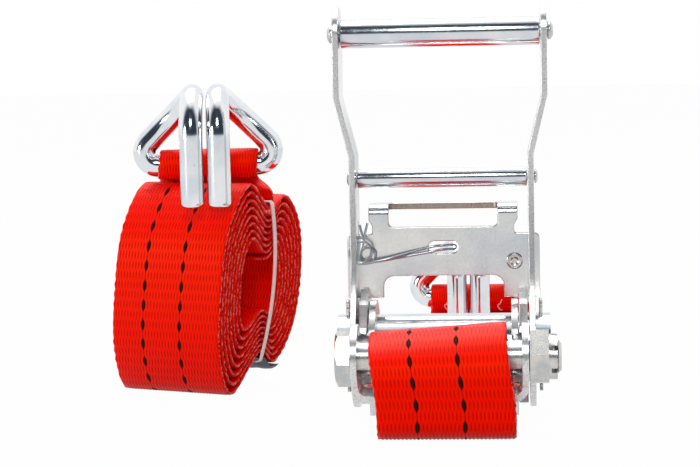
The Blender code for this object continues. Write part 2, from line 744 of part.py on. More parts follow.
def make_drive_pawl(spindle_axis):
    """Drive pawl: the sprung plate with its finger slot, its stud and its two-coil wire spring."""
    leg = BASE_IN - PAWL_LEG
    corner = EAR_PROUD
    right = [
        (leg, PAWL_ARCH, 2 * corner), (leg, PAWL_TIP, 0), (EAR_HALF, PAWL_TIP, 0),
        (EAR_HALF, PAWL_EAR_TOP, corner), (PAWL_NECK_HALF, PAWL_EAR_TOP, corner / 2),
        (PAWL_NECK_HALF, PAWL_NECK_UP, 0), (PAWL_TOP_HALF, PAWL_NECK_UP + corner, 0),
        (PAWL_TOP_HALF, PAWL_END, corner),
    ]
    corners = right + [(-x, s, radius) for x, s, radius in reversed(right)]
    finger_high = PAWL_BEND_UP + PAWL_BEND_ARC + FINGER_INTO_LEDGE
    finger = [(-FINGER_HALF, FINGER_LOW, corner), (FINGER_HALF, FINGER_LOW, corner)]
    finger += [(FINGER_HALF, finger_high, corner), (-FINGER_HALF, finger_high, corner)]
    oval_round = OVAL_HEIGHT / 2
    oval_run = OVAL_LENGTH / 2 - oval_round
    oval = arc((oval_run, OVAL_UP), oval_round, -90.0, 90.0, 8)
    oval += arc((-oval_run, OVAL_UP), oval_round, 90.0, 270.0, 8)
    stud_hole = circle((STUD_X, STUD_UP), STUD_RADIUS + FIT, 16)
    folds = [fold_b(PAWL_BEND_UP + PAWL_BEND_ARC * k / 4) for k in range(5)]
    bm = sheet(rounded(corners), [rounded(finger), oval, stud_hole], PAWL_SHEET, folds, place_pawl)
    add_mesh("drive_pawl", bm, ZINC, spindle_axis)

    front = PAWL_FRONT - FIT
    back = PAWL_BACK + FIT
    profile = [
        (front - STUD_PROUD, STUD_FACE), (front - RIVET_SHOULDER * STUD_PROUD, STUD_HEAD), (front, STUD_HEAD),
        (front, STUD_RADIUS), (back, STUD_RADIUS), (back, STUD_HEAD), (back + STUD_PROUD, STUD_BACK_FACE),
    ]
    rings = [[(a, y, b) for a, b in circle((STUD_X, STUD_UP), r, 20)] for y, r in profile]
    add_mesh("drive_pawl_stud", loft(rings), DULL_ZINC, spindle_axis)

    points = drive_spring_path()
    report_gap("drive_pawl_spring", points, 2 * SPRING_WIRE)
    add_wire("drive_pawl_spring", points, SPRING_WIRE, 1, SPRING_STEEL, spindle_axis)


def drive_spring_path():
    """One wire: free end, front coil, upper leg, nose in the oval slot, lower leg, back coil, free end."""
    touch = PAWL_FRONT - FIT - SPRING_WIRE
    coil_a_front = touch - COIL_A_FRONT
    coil_a_back = touch - COIL_A_BACK
    coil_b_front = touch - COIL_B_FRONT
    nose_x = OVAL_LENGTH / 2 - FIT - SPRING_WIRE - SPRING_NOSE

    points = [(COIL_A_X, coil_a_front, SPRING_END_UP)]
    points += [(COIL_A_X + COIL_A_LEAD, coil_a_front, COIL_A_UP + COIL_A_RADIUS + COIL_A_LEAD)]
    turn_a = arc((COIL_A_X, COIL_A_UP), COIL_A_RADIUS, 70.0, 630.0, 15)
    for k, (x, z) in enumerate(turn_a):
        points.append((x, coil_a_front + (coil_a_back - coil_a_front) * k / 15, z))
    points += [(COIL_B_X + COIL_B_REACH, coil_a_back, turn_a[-1][1] + 2 * SPRING_WIRE)]
    points += [(-OVAL_LENGTH / 2, touch, OVAL_UP), (0.0, touch, OVAL_UP + SPRING_NOSE)]
    for x, z in arc((nose_x, OVAL_UP), SPRING_NOSE, 90.0, -90.0, 6):
        points.append((x, PAWL_MID, z))
    points += [(0.0, touch, OVAL_UP - SPRING_NOSE), (-OVAL_LENGTH / 2, touch, OVAL_UP - SPRING_LEG_DROP)]
    for k, (x, z) in enumerate(arc((COIL_B_X, COIL_B_UP), COIL_B_RADIUS, 270.0, -190.0, 13)):
        points.append((x, coil_b_front + (touch - coil_b_front) * k / 13, z))
    points += [(COIL_B_X, touch, SPRING_END_UP)]
    return points


def place_lock(x, y, n):
    """The lock pawl lies flat; its two stems are coined thinner to enter their springs."""
    coin = STEM_COIN if y < LOCK_FRONT - FIT / 2 else 1.0
    return x, y, LOCK_Z + n * coin


def make_lock_pawl(spindle_axis):
    """Lock pawl, with the two coil springs between it and the base's lip."""
    stem_end = LIP_INNER + LOCK_TRAVEL + STRAP_SIDE
    body = BASE_IN - FIT
    ear_start = WHEEL_OUT + RUN
    right = [
        (LOCK_RECESS_HALF - LOCK_RECESS, LOCK_REAR - LOCK_RECESS), (LOCK_RECESS_HALF, LOCK_REAR),
        (ear_start, LOCK_REAR), (ear_start, LOCK_EAR_REAR), (EAR_HALF, LOCK_EAR_REAR),
        (EAR_HALF, LOCK_EAR_FRONT), (body, LOCK_EAR_FRONT), (body, LOCK_FRONT),
        (STEM_X + STEM_HALF, LOCK_FRONT), (STEM_X + STEM_HALF, stem_end),
        (STEM_X - STEM_HALF, stem_end), (STEM_X - STEM_HALF, LOCK_FRONT),
    ]
    folds = [fold_b(LOCK_FRONT - FIT / 4), fold_b(LOCK_FRONT - FIT)]
    bm = sheet(mirrored(right), [], LOCK_SHEET, folds, place_lock)
    add_mesh("lock_pawl", bm, DULL_ZINC, spindle_axis)

    back = LOCK_FRONT - FIT - LOCK_WIRE
    front = LIP_INNER + FIT + LOCK_WIRE
    turns = LOCK_CURLS * CURL_POINTS
    for name, side in (("lock_pawl_spring_left", -1.0), ("lock_pawl_spring_right", 1.0)):
        points = []
        for k in range(turns + 1):
            angle = 2 * math.pi * k / CURL_POINTS
            x = side * STEM_X + LOCK_COIL * math.cos(angle)
            points.append((x, back + (front - back) * k / turns, LOCK_Z + LOCK_COIL * math.sin(angle)))
        report_gap(name, points, 2 * LOCK_WIRE)
        add_wire(name, points, LOCK_WIRE, 1, SPRING_STEEL, spindle_axis)


def hook_path():
    """Centre line of a double-J hook: base rod, corners, sloping arms, arches and two prongs."""
    turn = 180.0 - HOOK_ARM_ANGLE
    right = [(x, 0.0, z) for x, z in arc((HOOK_STRAIGHT, HOOK_CORNER), HOOK_CORNER, -90.0, turn - 90.0, 8)]
    arm_x, _, arm_z = right[-1]
    slope = math.tan(math.radians(HOOK_ARM_ANGLE))
    right.append((arm_x - (HOOK_STAND - arm_z) / slope, 0.0, HOOK_STAND))
    top_x = arm_x - (HOOK_STAND + HOOK_ARCH - arm_z) / slope
    steps = 12
    for k in range(1, steps + 1):
        angle = math.pi * k / steps
        z = HOOK_STAND + HOOK_ARCH * math.sin(angle)
        if k <= steps / 2:
            x = arm_x - (z - arm_z) / slope
        else:
            x = top_x + (HOOK_SPREAD - top_x) * ease(k, steps / 2, steps)
        right.append((x, -HOOK_ARCH * (1 - math.cos(angle)), z))
    prong_y = -2 * HOOK_ARCH
    for angle in TIP_RINGS:
        rise = HOOK_WIRE * (1 - math.cos(math.radians(angle)))
        right.append((HOOK_SPREAD, prong_y, HOOK_TIP + rise))
    return [(-x, y, z) for x, y, z in reversed(right)] + right


def add_hook(name, hook_axis):
    """Double-J hook of thick wire with rounded tips, its base rod on the swing axis."""
    points = hook_path()
    radii = [1.0] * len(points)
    for k, angle in enumerate(reversed(TIP_RINGS)):
        radii[k] = math.sin(math.radians(angle))
        radii[-1 - k] = radii[k]
    add_wire(name, points, HOOK_WIRE, 4, CHROME, hook_axis, radii)


def rear_shift(y):
    """Sideways place of the short strap's middle, and its turn in plan, at a place along it."""
    shift = FRONT_SHIFT + (MIDDLE_SHIFT - FRONT_SHIFT) * ease(y, EASE_FRONT, EASE_BACK)
    bend = math.tan(math.radians(REAR_TURN)) / (2 * (TURN_END - TURN_START))
    curved = min(max(y, TURN_START), TURN_END) - TURN_START
    slope = 2 * bend * curved
    return shift + bend * curved ** 2 + slope * max(0.0, y - TURN_END), math.atan(slope)


def place_short(path_y):
    """Place function for one station of the short strap, which turns as a whole in plan."""
    shift, turn = rear_shift(path_y)

    def place(across, y, z):
        lift = LOOP_SKEW * across * ramp(z, SKEW_LOW, SKEW_HIGH) if path_y < 0 else 0.0
        offset = y - path_y
        return (
            shift + across * math.cos(turn) + offset * math.sin(turn),
            path_y - across * math.sin(turn) + offset * math.cos(turn),
            z + lift,
        )
    return place


def short_strap_path():
    """Side view of the short strap, from its sewn end round the bolt and back to its hook."""
    inner = (BOLT_PLY_Z - SECOND_PLY_Z) / 2
    back = (LOOP_TOP - BOLT_PLY_Z) / 2
    outer = (LOOP_TOP - FLOOR_PLY_Z) / 2
    fold = (HOOK_PLY_Z - FLOOR_PLY_Z) / 2
    path = [(y, SECOND_PLY_Z) for y in (SEWN_END_Y, EASE_BACK, (EASE_FRONT + EASE_BACK) / 2, EASE_FRONT)]
    path += arc((BOLT_Y - INNER_ARC_REACH, SECOND_PLY_Z + inner), inner, 270.0, 90.0, 12)
    path += arc((BOLT_Y, BOLT_PLY_Z + back), back, -90.0, 90.0, 12)
    front = BOLT_Y - OUTER_ARC_REACH - outer
    path += arc((front + outer, LOOP_TOP - outer), outer, 90.0, 180.0, 10)
    path += arc((front + LOOP_FOOT, FLOOR_PLY_Z + LOOP_FOOT), LOOP_FOOT, 180.0, 270.0, 6)
    path += [(y, FLOOR_PLY_Z) for y in (EASE_FRONT, (EASE_FRONT + EASE_BACK) / 2, EASE_BACK)]
    steps = 12
    path += [(TURN_START + (FOLD_Y - TURN_START) * k / steps, FLOOR_PLY_Z) for k in range(steps)]
    path += arc((FOLD_Y, FLOOR_PLY_Z + fold), fold, -90.0, 90.0, 8)
    path += arc((HOOK_Y, REAR_HOOK_Z), HOOK_LOOP, -90.0, -270.0 - HOOK_END_SLOPE, 14)
    end_z = HOOK_PLY_Z + PLY_STEP
    leave_y, leave_z = path[-1]
    slope = math.tan(math.radians(HOOK_END_SLOPE))
    foot_y = leave_y + (leave_z - end_z) / slope
    path += [(foot_y - 1.5 * PLY_STEP, end_z + 1.5 * PLY_STEP * slope)]
    path += [(foot_y, end_z + 0.25 * PLY_STEP), (foot_y + 2 * PLY_STEP, end_z), (SHORT_END_Y, end_z)]
    return path


def short_station(k, y, z):
    """Edges and plan of the short strap at a station; it is gathered to enter its hook."""
    half = STRAP_WIDTH / 2
    if y > TURN_END and z > FLOOR_PLY_Z + PLY_STEP:
        spread = ease(y - HOOK_Y, GATHER_NEAR, GATHER_FAR)
        half = (HOOK_STRAP_WIDTH + (STRAP_WIDTH - HOOK_STRAP_WIDTH) * spread) / 2
    return -half, half, place_short(y)


def make_short_strap():
    """Short strap with its hook."""
    path = short_strap_path()
    report_gap("short_strap", path, STRAP_THICK)
    add_mesh("short_strap", ribbon(path, STRAP_THICK, short_station), RED_WEBBING, None)
    shift, _ = rear_shift(HOOK_Y)
    hook_axis = add_empty("rear_hook_axis", (shift, HOOK_Y, REAR_HOOK_Z), -REAR_TURN)
    add_hook("rear_hook", hook_axis)


def loop_point(points, t):
    """Point of the closed smooth curve through points, at t points along it."""
    count = len(points)
    k = math.floor(t)
    u = t - k
    p0, p1, p2, p3 = (Vector(points[(k + j) % count]) for j in (-1, 0, 1, 2))
    curve = 2 * p1 + (p2 - p0) * u + (2 * p0 - 5 * p1 + 4 * p2 - p3) * u ** 2
    return (curve + (3 * p1 - p0 - 3 * p2 + p3) * u ** 3) / 2


def hank_path():
    """Side view of the long strap: loops spiralling outward, then the tail up to its hook's loop."""
    spans = len(HANK_OUTER)
    last = HANK_LOOPS * spans * STEPS_PER_SPAN
    path = []
    for k in range(last + 1):
        t = k / STEPS_PER_SPAN
        point = loop_point(HANK_INNER, t).lerp(loop_point(HANK_OUTER, t), k / last)
        path.append((point.x, max(point.y, STRAP_THICK / 2)))
    waist_y, waist_z = path[-1]
    path += arc((waist_y, waist_z + TAIL_FOLD), TAIL_FOLD, -90.0, 0.0, 5)[1:]
    tail_y, tail_z = path[-1]
    back_y = HANK_HOOK_Y + HOOK_LOOP
    for share in (0.25, 0.5, 0.75):
        rise = ease(share, 0.0, 1.0)
        path.append((tail_y + (back_y - tail_y) * rise, tail_z + (HANK_HOOK_Z - tail_z) * share))
    path += arc((HANK_HOOK_Y, HANK_HOOK_Z), HOOK_LOOP, 0.0, HANK_WRAP, 16)
    return path


def lean_place(across, y, z):
    """The hank runs straight in plan, and leans to the right with height."""
    return across + HANK_LEAN * z, y, z


def hank_station(k, y, z):
    """Edges and plan of the long strap at a station; its tail twists and gathers to enter its hook."""
    half = STRAP_WIDTH / 2
    if k <= HANK_LOOPS * len(HANK_OUTER) * STEPS_PER_SPAN:
        return -half, half, lean_place
    share = 1.0
    if y > HANK_HOOK_Y:
        share = ease(z, BAND_HIGH + TWIST_RISE, HANK_HOOK_Z - HOOK_WIRE)
    half = (STRAP_WIDTH + (HOOK_STRAP_WIDTH - STRAP_WIDTH) * share) / 2
    turn = math.radians(HANK_HOOK_TURN) * share

    def place(across, here_y, here_z):
        back = here_y - HANK_HOOK_Y
        x = across * math.cos(turn) - back * math.sin(turn)
        y_turned = across * math.sin(turn) + back * math.cos(turn)
        return x + HANK_LEAN * z, HANK_HOOK_Y + y_turned, here_z
    return -half, half, place


def make_hank():
    """Long strap in its hank, with its hook, the band round its waist and its label."""
    hank_place = add_empty("hank_place", (HANK_X, HANK_Y, 0.0), HANK_TURN)
    path = hank_path()
    report_gap("strap_hank", path, STRAP_THICK)
    add_mesh("strap_hank", ribbon(path, STRAP_THICK, hank_station), RED_WEBBING, hank_place)
    hook_x = HANK_LEAN * HANK_HOOK_Z
    hook_axis = add_empty("hank_hook_axis", (hook_x, HANK_HOOK_Y, HANK_HOOK_Z), HANK_HOOK_TURN, hank_place)
    add_hook("hank_hook", hook_axis)

    side = STRAP_WIDTH / 2 + FIT + BAND_THICK / 2
    corners = [(-side, BAND_LOW, BAND_CORNER), (side, BAND_LOW, BAND_CORNER)]
    corners += [(side, BAND_HIGH, BAND_CORNER), (-side, BAND_HIGH, BAND_CORNER)]
    rings = []
    middle = (BAND_LOW + BAND_HIGH) / 2
    for x, z in fill_sides(rounded(corners), side):
        height = (z - middle) / (BAND_HIGH - middle)
        y = BAND_Y + BAND_BULGE * (1.0 - height ** 2)
        out = Vector((0.0, 0.0))
        if abs(x) > side - BAND_CORNER:
            out.x = math.copysign(1.0, x)
        if abs(z - middle) > BAND_HIGH - middle - BAND_CORNER:
            out.y = math.copysign(1.0, height)
        out = out.normalized() * BAND_THICK / 2
        rings.append([
            lean_place(x + face * out.x, y + edge * BAND_WIDTH / 2, z + face * out.y)
            for face, edge in ((-1, -1), (1, -1), (1, 1), (-1, 1))
        ])
    add_mesh("hank_tie_band", loft(rings, closed=True), WHITE_BAND, hank_place)

    label = []
    for k in range(LABEL_STEPS + 1):
        t = LABEL_START + LABEL_SPAN * k / LABEL_STEPS
        point = loop_point(HANK_OUTER, t)
        ahead = (loop_point(HANK_OUTER, t + 0.05) - loop_point(HANK_OUTER, t - 0.05)).normalized()
        stand = (STRAP_THICK + LABEL_THICK) / 2 + FIT
        label.append((point.x - ahead.y * stand, point.y + ahead.x * stand))
    bm = ribbon(label, LABEL_THICK, lambda k, y, z: (LABEL_LEFT, LABEL_RIGHT, lean_place))
    add_mesh("strap_label", bm, GREY_LABEL, hank_place)


def fill_sides(outline, side):
    """Add points up the straight sides of the band's outline, so that they can bow."""
    filled = []
    for near, far in zip(outline, outline[1:] + outline[:1]):
        filled.append(near)
        if abs(abs(near[0]) - side) < MERGE and abs(abs(far[0]) - side) < MERGE:
            for k in range(1, 8):
                filled.append((near[0], near[1] + (far[1] - near[1]) * k / 8))
    return filled


def main():
    for item in list(bpy.data.objects):
        bpy.data.objects.remove(item)
    spindle_axis = add_empty("spindle_axis", (0.0, 0.0, SPINDLE_HEIGHT))
    bolt_axis = add_empty("bolt_axis", (0.0, BOLT_Y, BOLT_Z), 0.0, spindle_axis)
    make_base(spindle_axis)
    make_bolt(bolt_axis)
    make_spindle(spindle_axis)
    make_handle(spindle_axis)
    make_drive_pawl(spindle_axis)
    make_lock_pawl(spindle_axis)
    make_short_strap()
    make_hank()
    bpy.context.view_layer.update()
    for name in ("spindle_axis", "rear_hook_axis", "hank_hook_axis"):
        place = bpy.data.objects[name].matrix_world.translation
        print(name, [round(value, 5) for value in place])


main()
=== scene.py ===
# %% [markdown]
# # A ratchet tie-down, dressed for the camera
#
# The real thing is a zinc-plated ratchet buckle with a short red strap on its bolt, and a long red
# strap folded into a tied hank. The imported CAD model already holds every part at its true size, so
# this lesson only gives each part the surface that the hand and the eye know: pressed sheet with
# softened edges, turned pins, bent wire, and webbing whose weave is real relief. The CAD comes first
# and stays where it is, because every new piece takes its place from it.

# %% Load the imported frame
import json
import math

import bmesh
import bpy
from mathutils import Matrix, Vector
from mathutils.bvhtree import BVHTree


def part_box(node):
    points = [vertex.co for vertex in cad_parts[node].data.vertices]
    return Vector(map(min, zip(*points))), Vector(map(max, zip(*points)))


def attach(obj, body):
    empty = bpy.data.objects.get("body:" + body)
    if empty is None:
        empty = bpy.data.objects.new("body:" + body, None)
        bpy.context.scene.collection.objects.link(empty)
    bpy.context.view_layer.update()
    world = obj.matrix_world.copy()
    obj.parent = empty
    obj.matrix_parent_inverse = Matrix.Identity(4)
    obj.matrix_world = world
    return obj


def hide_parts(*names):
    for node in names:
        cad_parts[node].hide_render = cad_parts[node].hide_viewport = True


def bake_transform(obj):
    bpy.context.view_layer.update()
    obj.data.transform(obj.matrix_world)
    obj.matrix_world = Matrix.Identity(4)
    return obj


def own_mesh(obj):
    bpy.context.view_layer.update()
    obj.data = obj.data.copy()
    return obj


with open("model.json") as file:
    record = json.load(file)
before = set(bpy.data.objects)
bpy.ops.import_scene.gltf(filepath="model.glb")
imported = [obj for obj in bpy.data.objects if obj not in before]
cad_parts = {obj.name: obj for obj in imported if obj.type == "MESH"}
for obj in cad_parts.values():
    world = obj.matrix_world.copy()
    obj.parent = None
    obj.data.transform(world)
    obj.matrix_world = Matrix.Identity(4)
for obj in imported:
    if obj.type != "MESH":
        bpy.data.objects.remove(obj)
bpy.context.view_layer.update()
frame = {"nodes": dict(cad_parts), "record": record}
nodes = frame["nodes"]
body_of_node = {
    node: body for body, names in frame["record"]["behaviour"]["bodies"].items() for node in names
}

# %% [markdown]
# ## Camera
#
# The photograph was taken from the front, a little above the table, with a long lens: the tubes stay
# nearly straight and the far hook looks almost as large as the near one. The place and turn below come
# from fitting the buckle's edges, so the camera is set by its matrix and not by tracking a target.

# %% Camera at the photograph's angle
IMAGE_WIDTH = 700
FOCAL_PIXELS = 2116.2
SENSOR_MM = 36.0
CAMERA_PLACE = Vector((0.0297, -0.8141, 0.1502))
CAMERA_YAW = -0.08055
CAMERA_PITCH = 0.0990
CAMERA_ROLL = -0.0208

forward = Vector((
    math.sin(CAMERA_YAW) * math.cos(CAMERA_PITCH),
    math.cos(CAMERA_YAW) * math.cos(CAMERA_PITCH),
    -math.sin(CAMERA_PITCH),
))
level = Vector((math.cos(CAMERA_YAW), -math.sin(CAMERA_YAW), 0.0))
rise = level.cross(forward)
right = level * math.cos(CAMERA_ROLL) + rise * math.sin(CAMERA_ROLL)
upward = rise * math.cos(CAMERA_ROLL) - level * math.sin(CAMERA_ROLL)

camera = bpy.data.objects.new("camera", bpy.data.cameras.new("camera"))
camera.data.sensor_fit = "HORIZONTAL"
camera.data.sensor_width = SENSOR_MM
camera.data.lens = FOCAL_PIXELS / IMAGE_WIDTH * SENSOR_MM
camera_turn = Matrix((right, upward, -forward)).transposed().to_4x4()
camera.matrix_world = Matrix.Translation(CAMERA_PLACE) @ camera_turn
bpy.context.scene.collection.objects.link(camera)
bpy.context.scene.camera = camera
print("camera lens", round(camera.data.lens, 1), "mm")

# %% [markdown]
# ## Two small helpers for shaders
#
# Colours are written as the sRGB hex values that a picture editor shows, and shaders want linear
# light, so one function converts them. A second one adds a node: a socket among its inputs becomes a
# link, and anything else becomes the input's value.

# %% Colour and node helpers


def linear(hex_colour):
    """Linear RGBA of an sRGB hex colour."""
    channels = []
    for k in (1, 3, 5):
        value = int(hex_colour[k:k + 2], 16) / 255
        channels.append(value / 12.92 if value <= 0.04045 else ((value + 0.055) / 1.055) ** 2.4)
    return (*channels, 1.0)


def add_node(tree, kind, inputs, **settings):
    """Add a shader node with its settings, its links and its values."""
    node = tree.nodes.new("ShaderNode" + kind)
    for name, value in settings.items():
        setattr(node, name, value)
    for name, value in inputs.items():
        if isinstance(value, bpy.types.NodeSocket):
            tree.links.new(value, node.inputs[name])
        else:
            node.inputs[name].default_value = value
    return node


# %% [markdown]
# ## Studio
#
# The photograph is a cut-out on white with only thin contact shadows. The world and the floor are
# white for camera, glossy and transmission rays, so the background and the reflections are white
# while the light that falls on the object stays at a plain level. Bright metal looks like metal only
# when it has something dark to reflect, so the world has one soft dark patch in front of the object,
# as the unlit room behind a camera gives.

# %% World, floor and lamps
bpy.context.scene.view_settings.view_transform = "Standard"

world = bpy.data.worlds.new("studio")
bpy.context.scene.world = world
world.use_nodes = True
tree = world.node_tree
tree.nodes.clear()
rays = add_node(tree, "LightPath", {})
seen = add_node(tree, "Math", {0: rays.outputs["Is Glossy Ray"], 1: rays.outputs["Is Transmission Ray"]},
                operation="MAXIMUM")
direction = add_node(tree, "TexCoord", {}).outputs["Generated"]
split = add_node(tree, "SeparateXYZ", {0: direction})
side_fade = add_node(tree, "MapRange", {"Value": split.outputs["Y"], "From Min": -0.50, "From Max": -0.05,
                                        "To Min": 1.0, "To Max": 0.0}, interpolation_type="SMOOTHSTEP")
low_fade = add_node(tree, "MapRange", {"Value": split.outputs["Z"], "From Min": -0.03, "From Max": 0.05},
                    interpolation_type="SMOOTHSTEP")
high_fade = add_node(tree, "MapRange", {"Value": split.outputs["Z"], "From Min": 0.86, "From Max": 1.00,
                                        "To Min": 1.0, "To Max": 0.0}, interpolation_type="SMOOTHSTEP")
patch = add_node(tree, "Math", {0: low_fade.outputs[0], 1: high_fade.outputs[0]}, operation="MULTIPLY")
patch = add_node(tree, "Math", {0: patch.outputs[0], 1: side_fade.outputs[0]}, operation="MULTIPLY")
patch = add_node(tree, "Math", {0: patch.outputs[0], 1: rays.outputs["Is Glossy Ray"]},
                 operation="MULTIPLY")
sky = add_node(tree, "Mix", {0: patch.outputs[0], 6: linear("#FFFFFF"), 7: linear("#303C48")},
               data_type="RGBA")
backdrop = add_node(tree, "Background", {"Color": sky.outputs[2], "Strength": 1.0})
fill_light = add_node(tree, "Background", {"Color": linear("#FFFCF8"), "Strength": 0.48})
shown = add_node(tree, "Math", {0: seen.outputs[0], 1: rays.outputs["Is Camera Ray"]},
                 operation="MAXIMUM")
studio = add_node(tree, "MixShader", {0: shown.outputs[0], 1: fill_light.outputs[0],
                                      2: backdrop.outputs[0]})
add_node(tree, "OutputWorld", {"Surface": studio.outputs[0]})

FLOOR_HALF = 4.0
FLOOR_DROP = 0.0002
bm = bmesh.new()
bmesh.ops.create_grid(bm, x_segments=1, y_segments=1, size=FLOOR_HALF)
bmesh.ops.translate(bm, verts=bm.verts, vec=(0.0, 0.0, -FLOOR_DROP))
floor = bpy.data.objects.new("floor", bpy.data.meshes.new("floor"))
bm.to_mesh(floor.data)
bm.free()
bpy.context.scene.collection.objects.link(floor)

paper = bpy.data.materials.new("white_paper_sweep")
paper.use_nodes = True
tree = paper.node_tree
tree.nodes.clear()
rays = add_node(tree, "LightPath", {})
seen = add_node(tree, "Math", {0: rays.outputs["Is Glossy Ray"], 1: rays.outputs["Is Transmission Ray"]},
                operation="MAXIMUM")
seen = add_node(tree, "Math", {0: seen.outputs[0], 1: 0.80}, operation="MULTIPLY")
direct = add_node(tree, "Math", {0: rays.outputs["Is Camera Ray"], 1: 0.98}, operation="MULTIPLY")
share = add_node(tree, "Math", {0: seen.outputs[0], 1: direct.outputs[0]}, operation="MAXIMUM")
matt = add_node(tree, "BsdfDiffuse", {"Color": linear("#B2B1AF")})
glow = add_node(tree, "Emission", {"Color": linear("#FFFFFF"), "Strength": 1.0})
mixed = add_node(tree, "MixShader", {0: share.outputs[0], 1: matt.outputs[0], 2: glow.outputs[0]})
add_node(tree, "OutputMaterial", {"Surface": mixed.outputs[0]})
floor.data.materials.append(paper)

LAMPS = [
    ("key_softbox", (-0.20, 0.40, 1.36), 1.10, 17.0),
    ("front_softbox", (0.0, -1.20, 0.80), 0.30, 4.6),
    ("left_softbox", (-1.15, -0.85, 0.25), 0.35, 5.0),
]
for name, place, size, watts in LAMPS:
    lamp = bpy.data.objects.new(name, bpy.data.lights.new(name, "AREA"))
    lamp.data.size = size
    lamp.data.energy = watts
    lamp.location = place
    lamp.rotation_euler = (Vector((-0.04, 0.0, 0.06)) - Vector(place)).to_track_quat("-Z", "Y").to_euler()
    bpy.context.scene.collection.objects.link(lamp)
print("studio:", len(LAMPS), "lamps and a floor")

# %% [markdown]
# ## Zinc-plated steel
#
# All the metal is steel with a thin electroplated zinc coat. What differs is how bright the coat is:
# pressed sheet keeps its rolled skin and shows faint cool and warm clouds, hooks and tubes are
# polished, and bolts and rivets are barrel-plated and duller. One function makes the family, because
# the coat is the same and only its roughness, cloud size and colour change. Metal keeps the default
# IOR.

# %% Zinc finishes
MM = 0.001


def zinc_finish(name, pale, shade, rough, cloud_mm, grain_mm, grain_depth, pits):
    """Plated steel: soft clouds of tint, a fine grain in the gloss, and small dark pits."""
    finish = bpy.data.materials.new(name)
    finish.use_nodes = True
    tree = finish.node_tree
    shader = tree.nodes["Principled BSDF"]
    shader.inputs["Metallic"].default_value = 1.0
    place = add_node(tree, "TexCoord", {}).outputs["Object"]
    clouds = add_node(tree, "TexNoise", {"Vector": place, "Scale": 1 / (cloud_mm * MM), "Detail": 3.0,
                                         "Roughness": 0.55})
    grain = add_node(tree, "TexNoise", {"Vector": place, "Scale": 1 / (grain_mm * MM), "Detail": 2.0,
                                        "Roughness": 0.6})
    spots = add_node(tree, "TexNoise", {"Vector": place, "Scale": 1 / (1.7 * MM), "Detail": 1.0})
    cloud_share = add_node(tree, "MapRange", {"Value": clouds.outputs[0], "From Min": 0.32,
                                              "From Max": 0.68}, interpolation_type="SMOOTHSTEP")
    colour = add_node(tree, "Mix", {0: cloud_share.outputs[0], 6: linear(pale), 7: linear(shade)},
                      data_type="RGBA")
    pit_share = add_node(tree, "MapRange", {"Value": spots.outputs[0], "From Min": 0.80 - pits,
                                            "From Max": 0.86 - pits, "To Max": 0.75})
    colour = add_node(tree, "Mix", {0: pit_share.outputs[0], 6: colour.outputs[2], 7: linear("#7C5A48")},
                      data_type="RGBA")
    tree.links.new(colour.outputs[2], shader.inputs["Base Color"])
    gloss = add_node(tree, "Math", {0: clouds.outputs[0], 1: 0.6, 2: 0.2}, operation="MULTIPLY_ADD")
    gloss = add_node(tree, "Math", {0: gloss.outputs[0], 1: grain.outputs[0]}, operation="ADD")
    roughness = add_node(tree, "MapRange", {"Value": gloss.outputs[0], "From Min": 0.7, "From Max": 1.3,
                                            "To Min": rough[0], "To Max": rough[1]})
    tree.links.new(roughness.outputs[0], shader.inputs["Roughness"])
    bump = add_node(tree, "Bump", {"Height": grain.outputs[0], "Strength": 0.35,
                                   "Distance": grain_depth * MM})
    tree.links.new(bump.outputs[0], shader.inputs["Normal"])
    return finish


SHEET_ZINC = zinc_finish("bright_zinc_on_rolled_sheet", "#E6E5E2", "#D2D6DA",
                         (0.14, 0.28), 24.0, 0.9, 0.010, 0.0)
POLISHED_ZINC = zinc_finish("polished_zinc_on_wire", "#EEF0F2", "#DDE3EA",
                            (0.06, 0.16), 14.0, 1.6, 0.012, 0.03)
TUBE_ZINC = zinc_finish("polished_zinc_on_drawn_tube", "#E4E6E8", "#CDD5DE",
                        (0.10, 0.22), 18.0, 0.8, 0.008, 0.02)
FASTENER_ZINC = zinc_finish("barrel_plated_zinc", "#DAD7D1", "#BFC2C4", (0.20, 0.36), 6.0, 0.7, 0.014, 0.04)
SPRING_ZINC = zinc_finish("plated_spring_wire", "#CBD0D4", "#A9B2BB", (0.14, 0.28), 5.0, 0.5, 0.006, 0.02)
print("zinc finishes: sheet, wire, tube, fastener, spring")

# %% [markdown]
# ## Sheared steel edge
#
# A press shears the sheet, and the cut wall is not flat plate: one part is burnished, the rest is torn
# and takes the zinc thinly, so it looks duller and speckled beside the bright faces. The torn
# streaks run about half a millimetre across, and they are drawn a little coarser so that they show.

# %% Sheared edge finishes


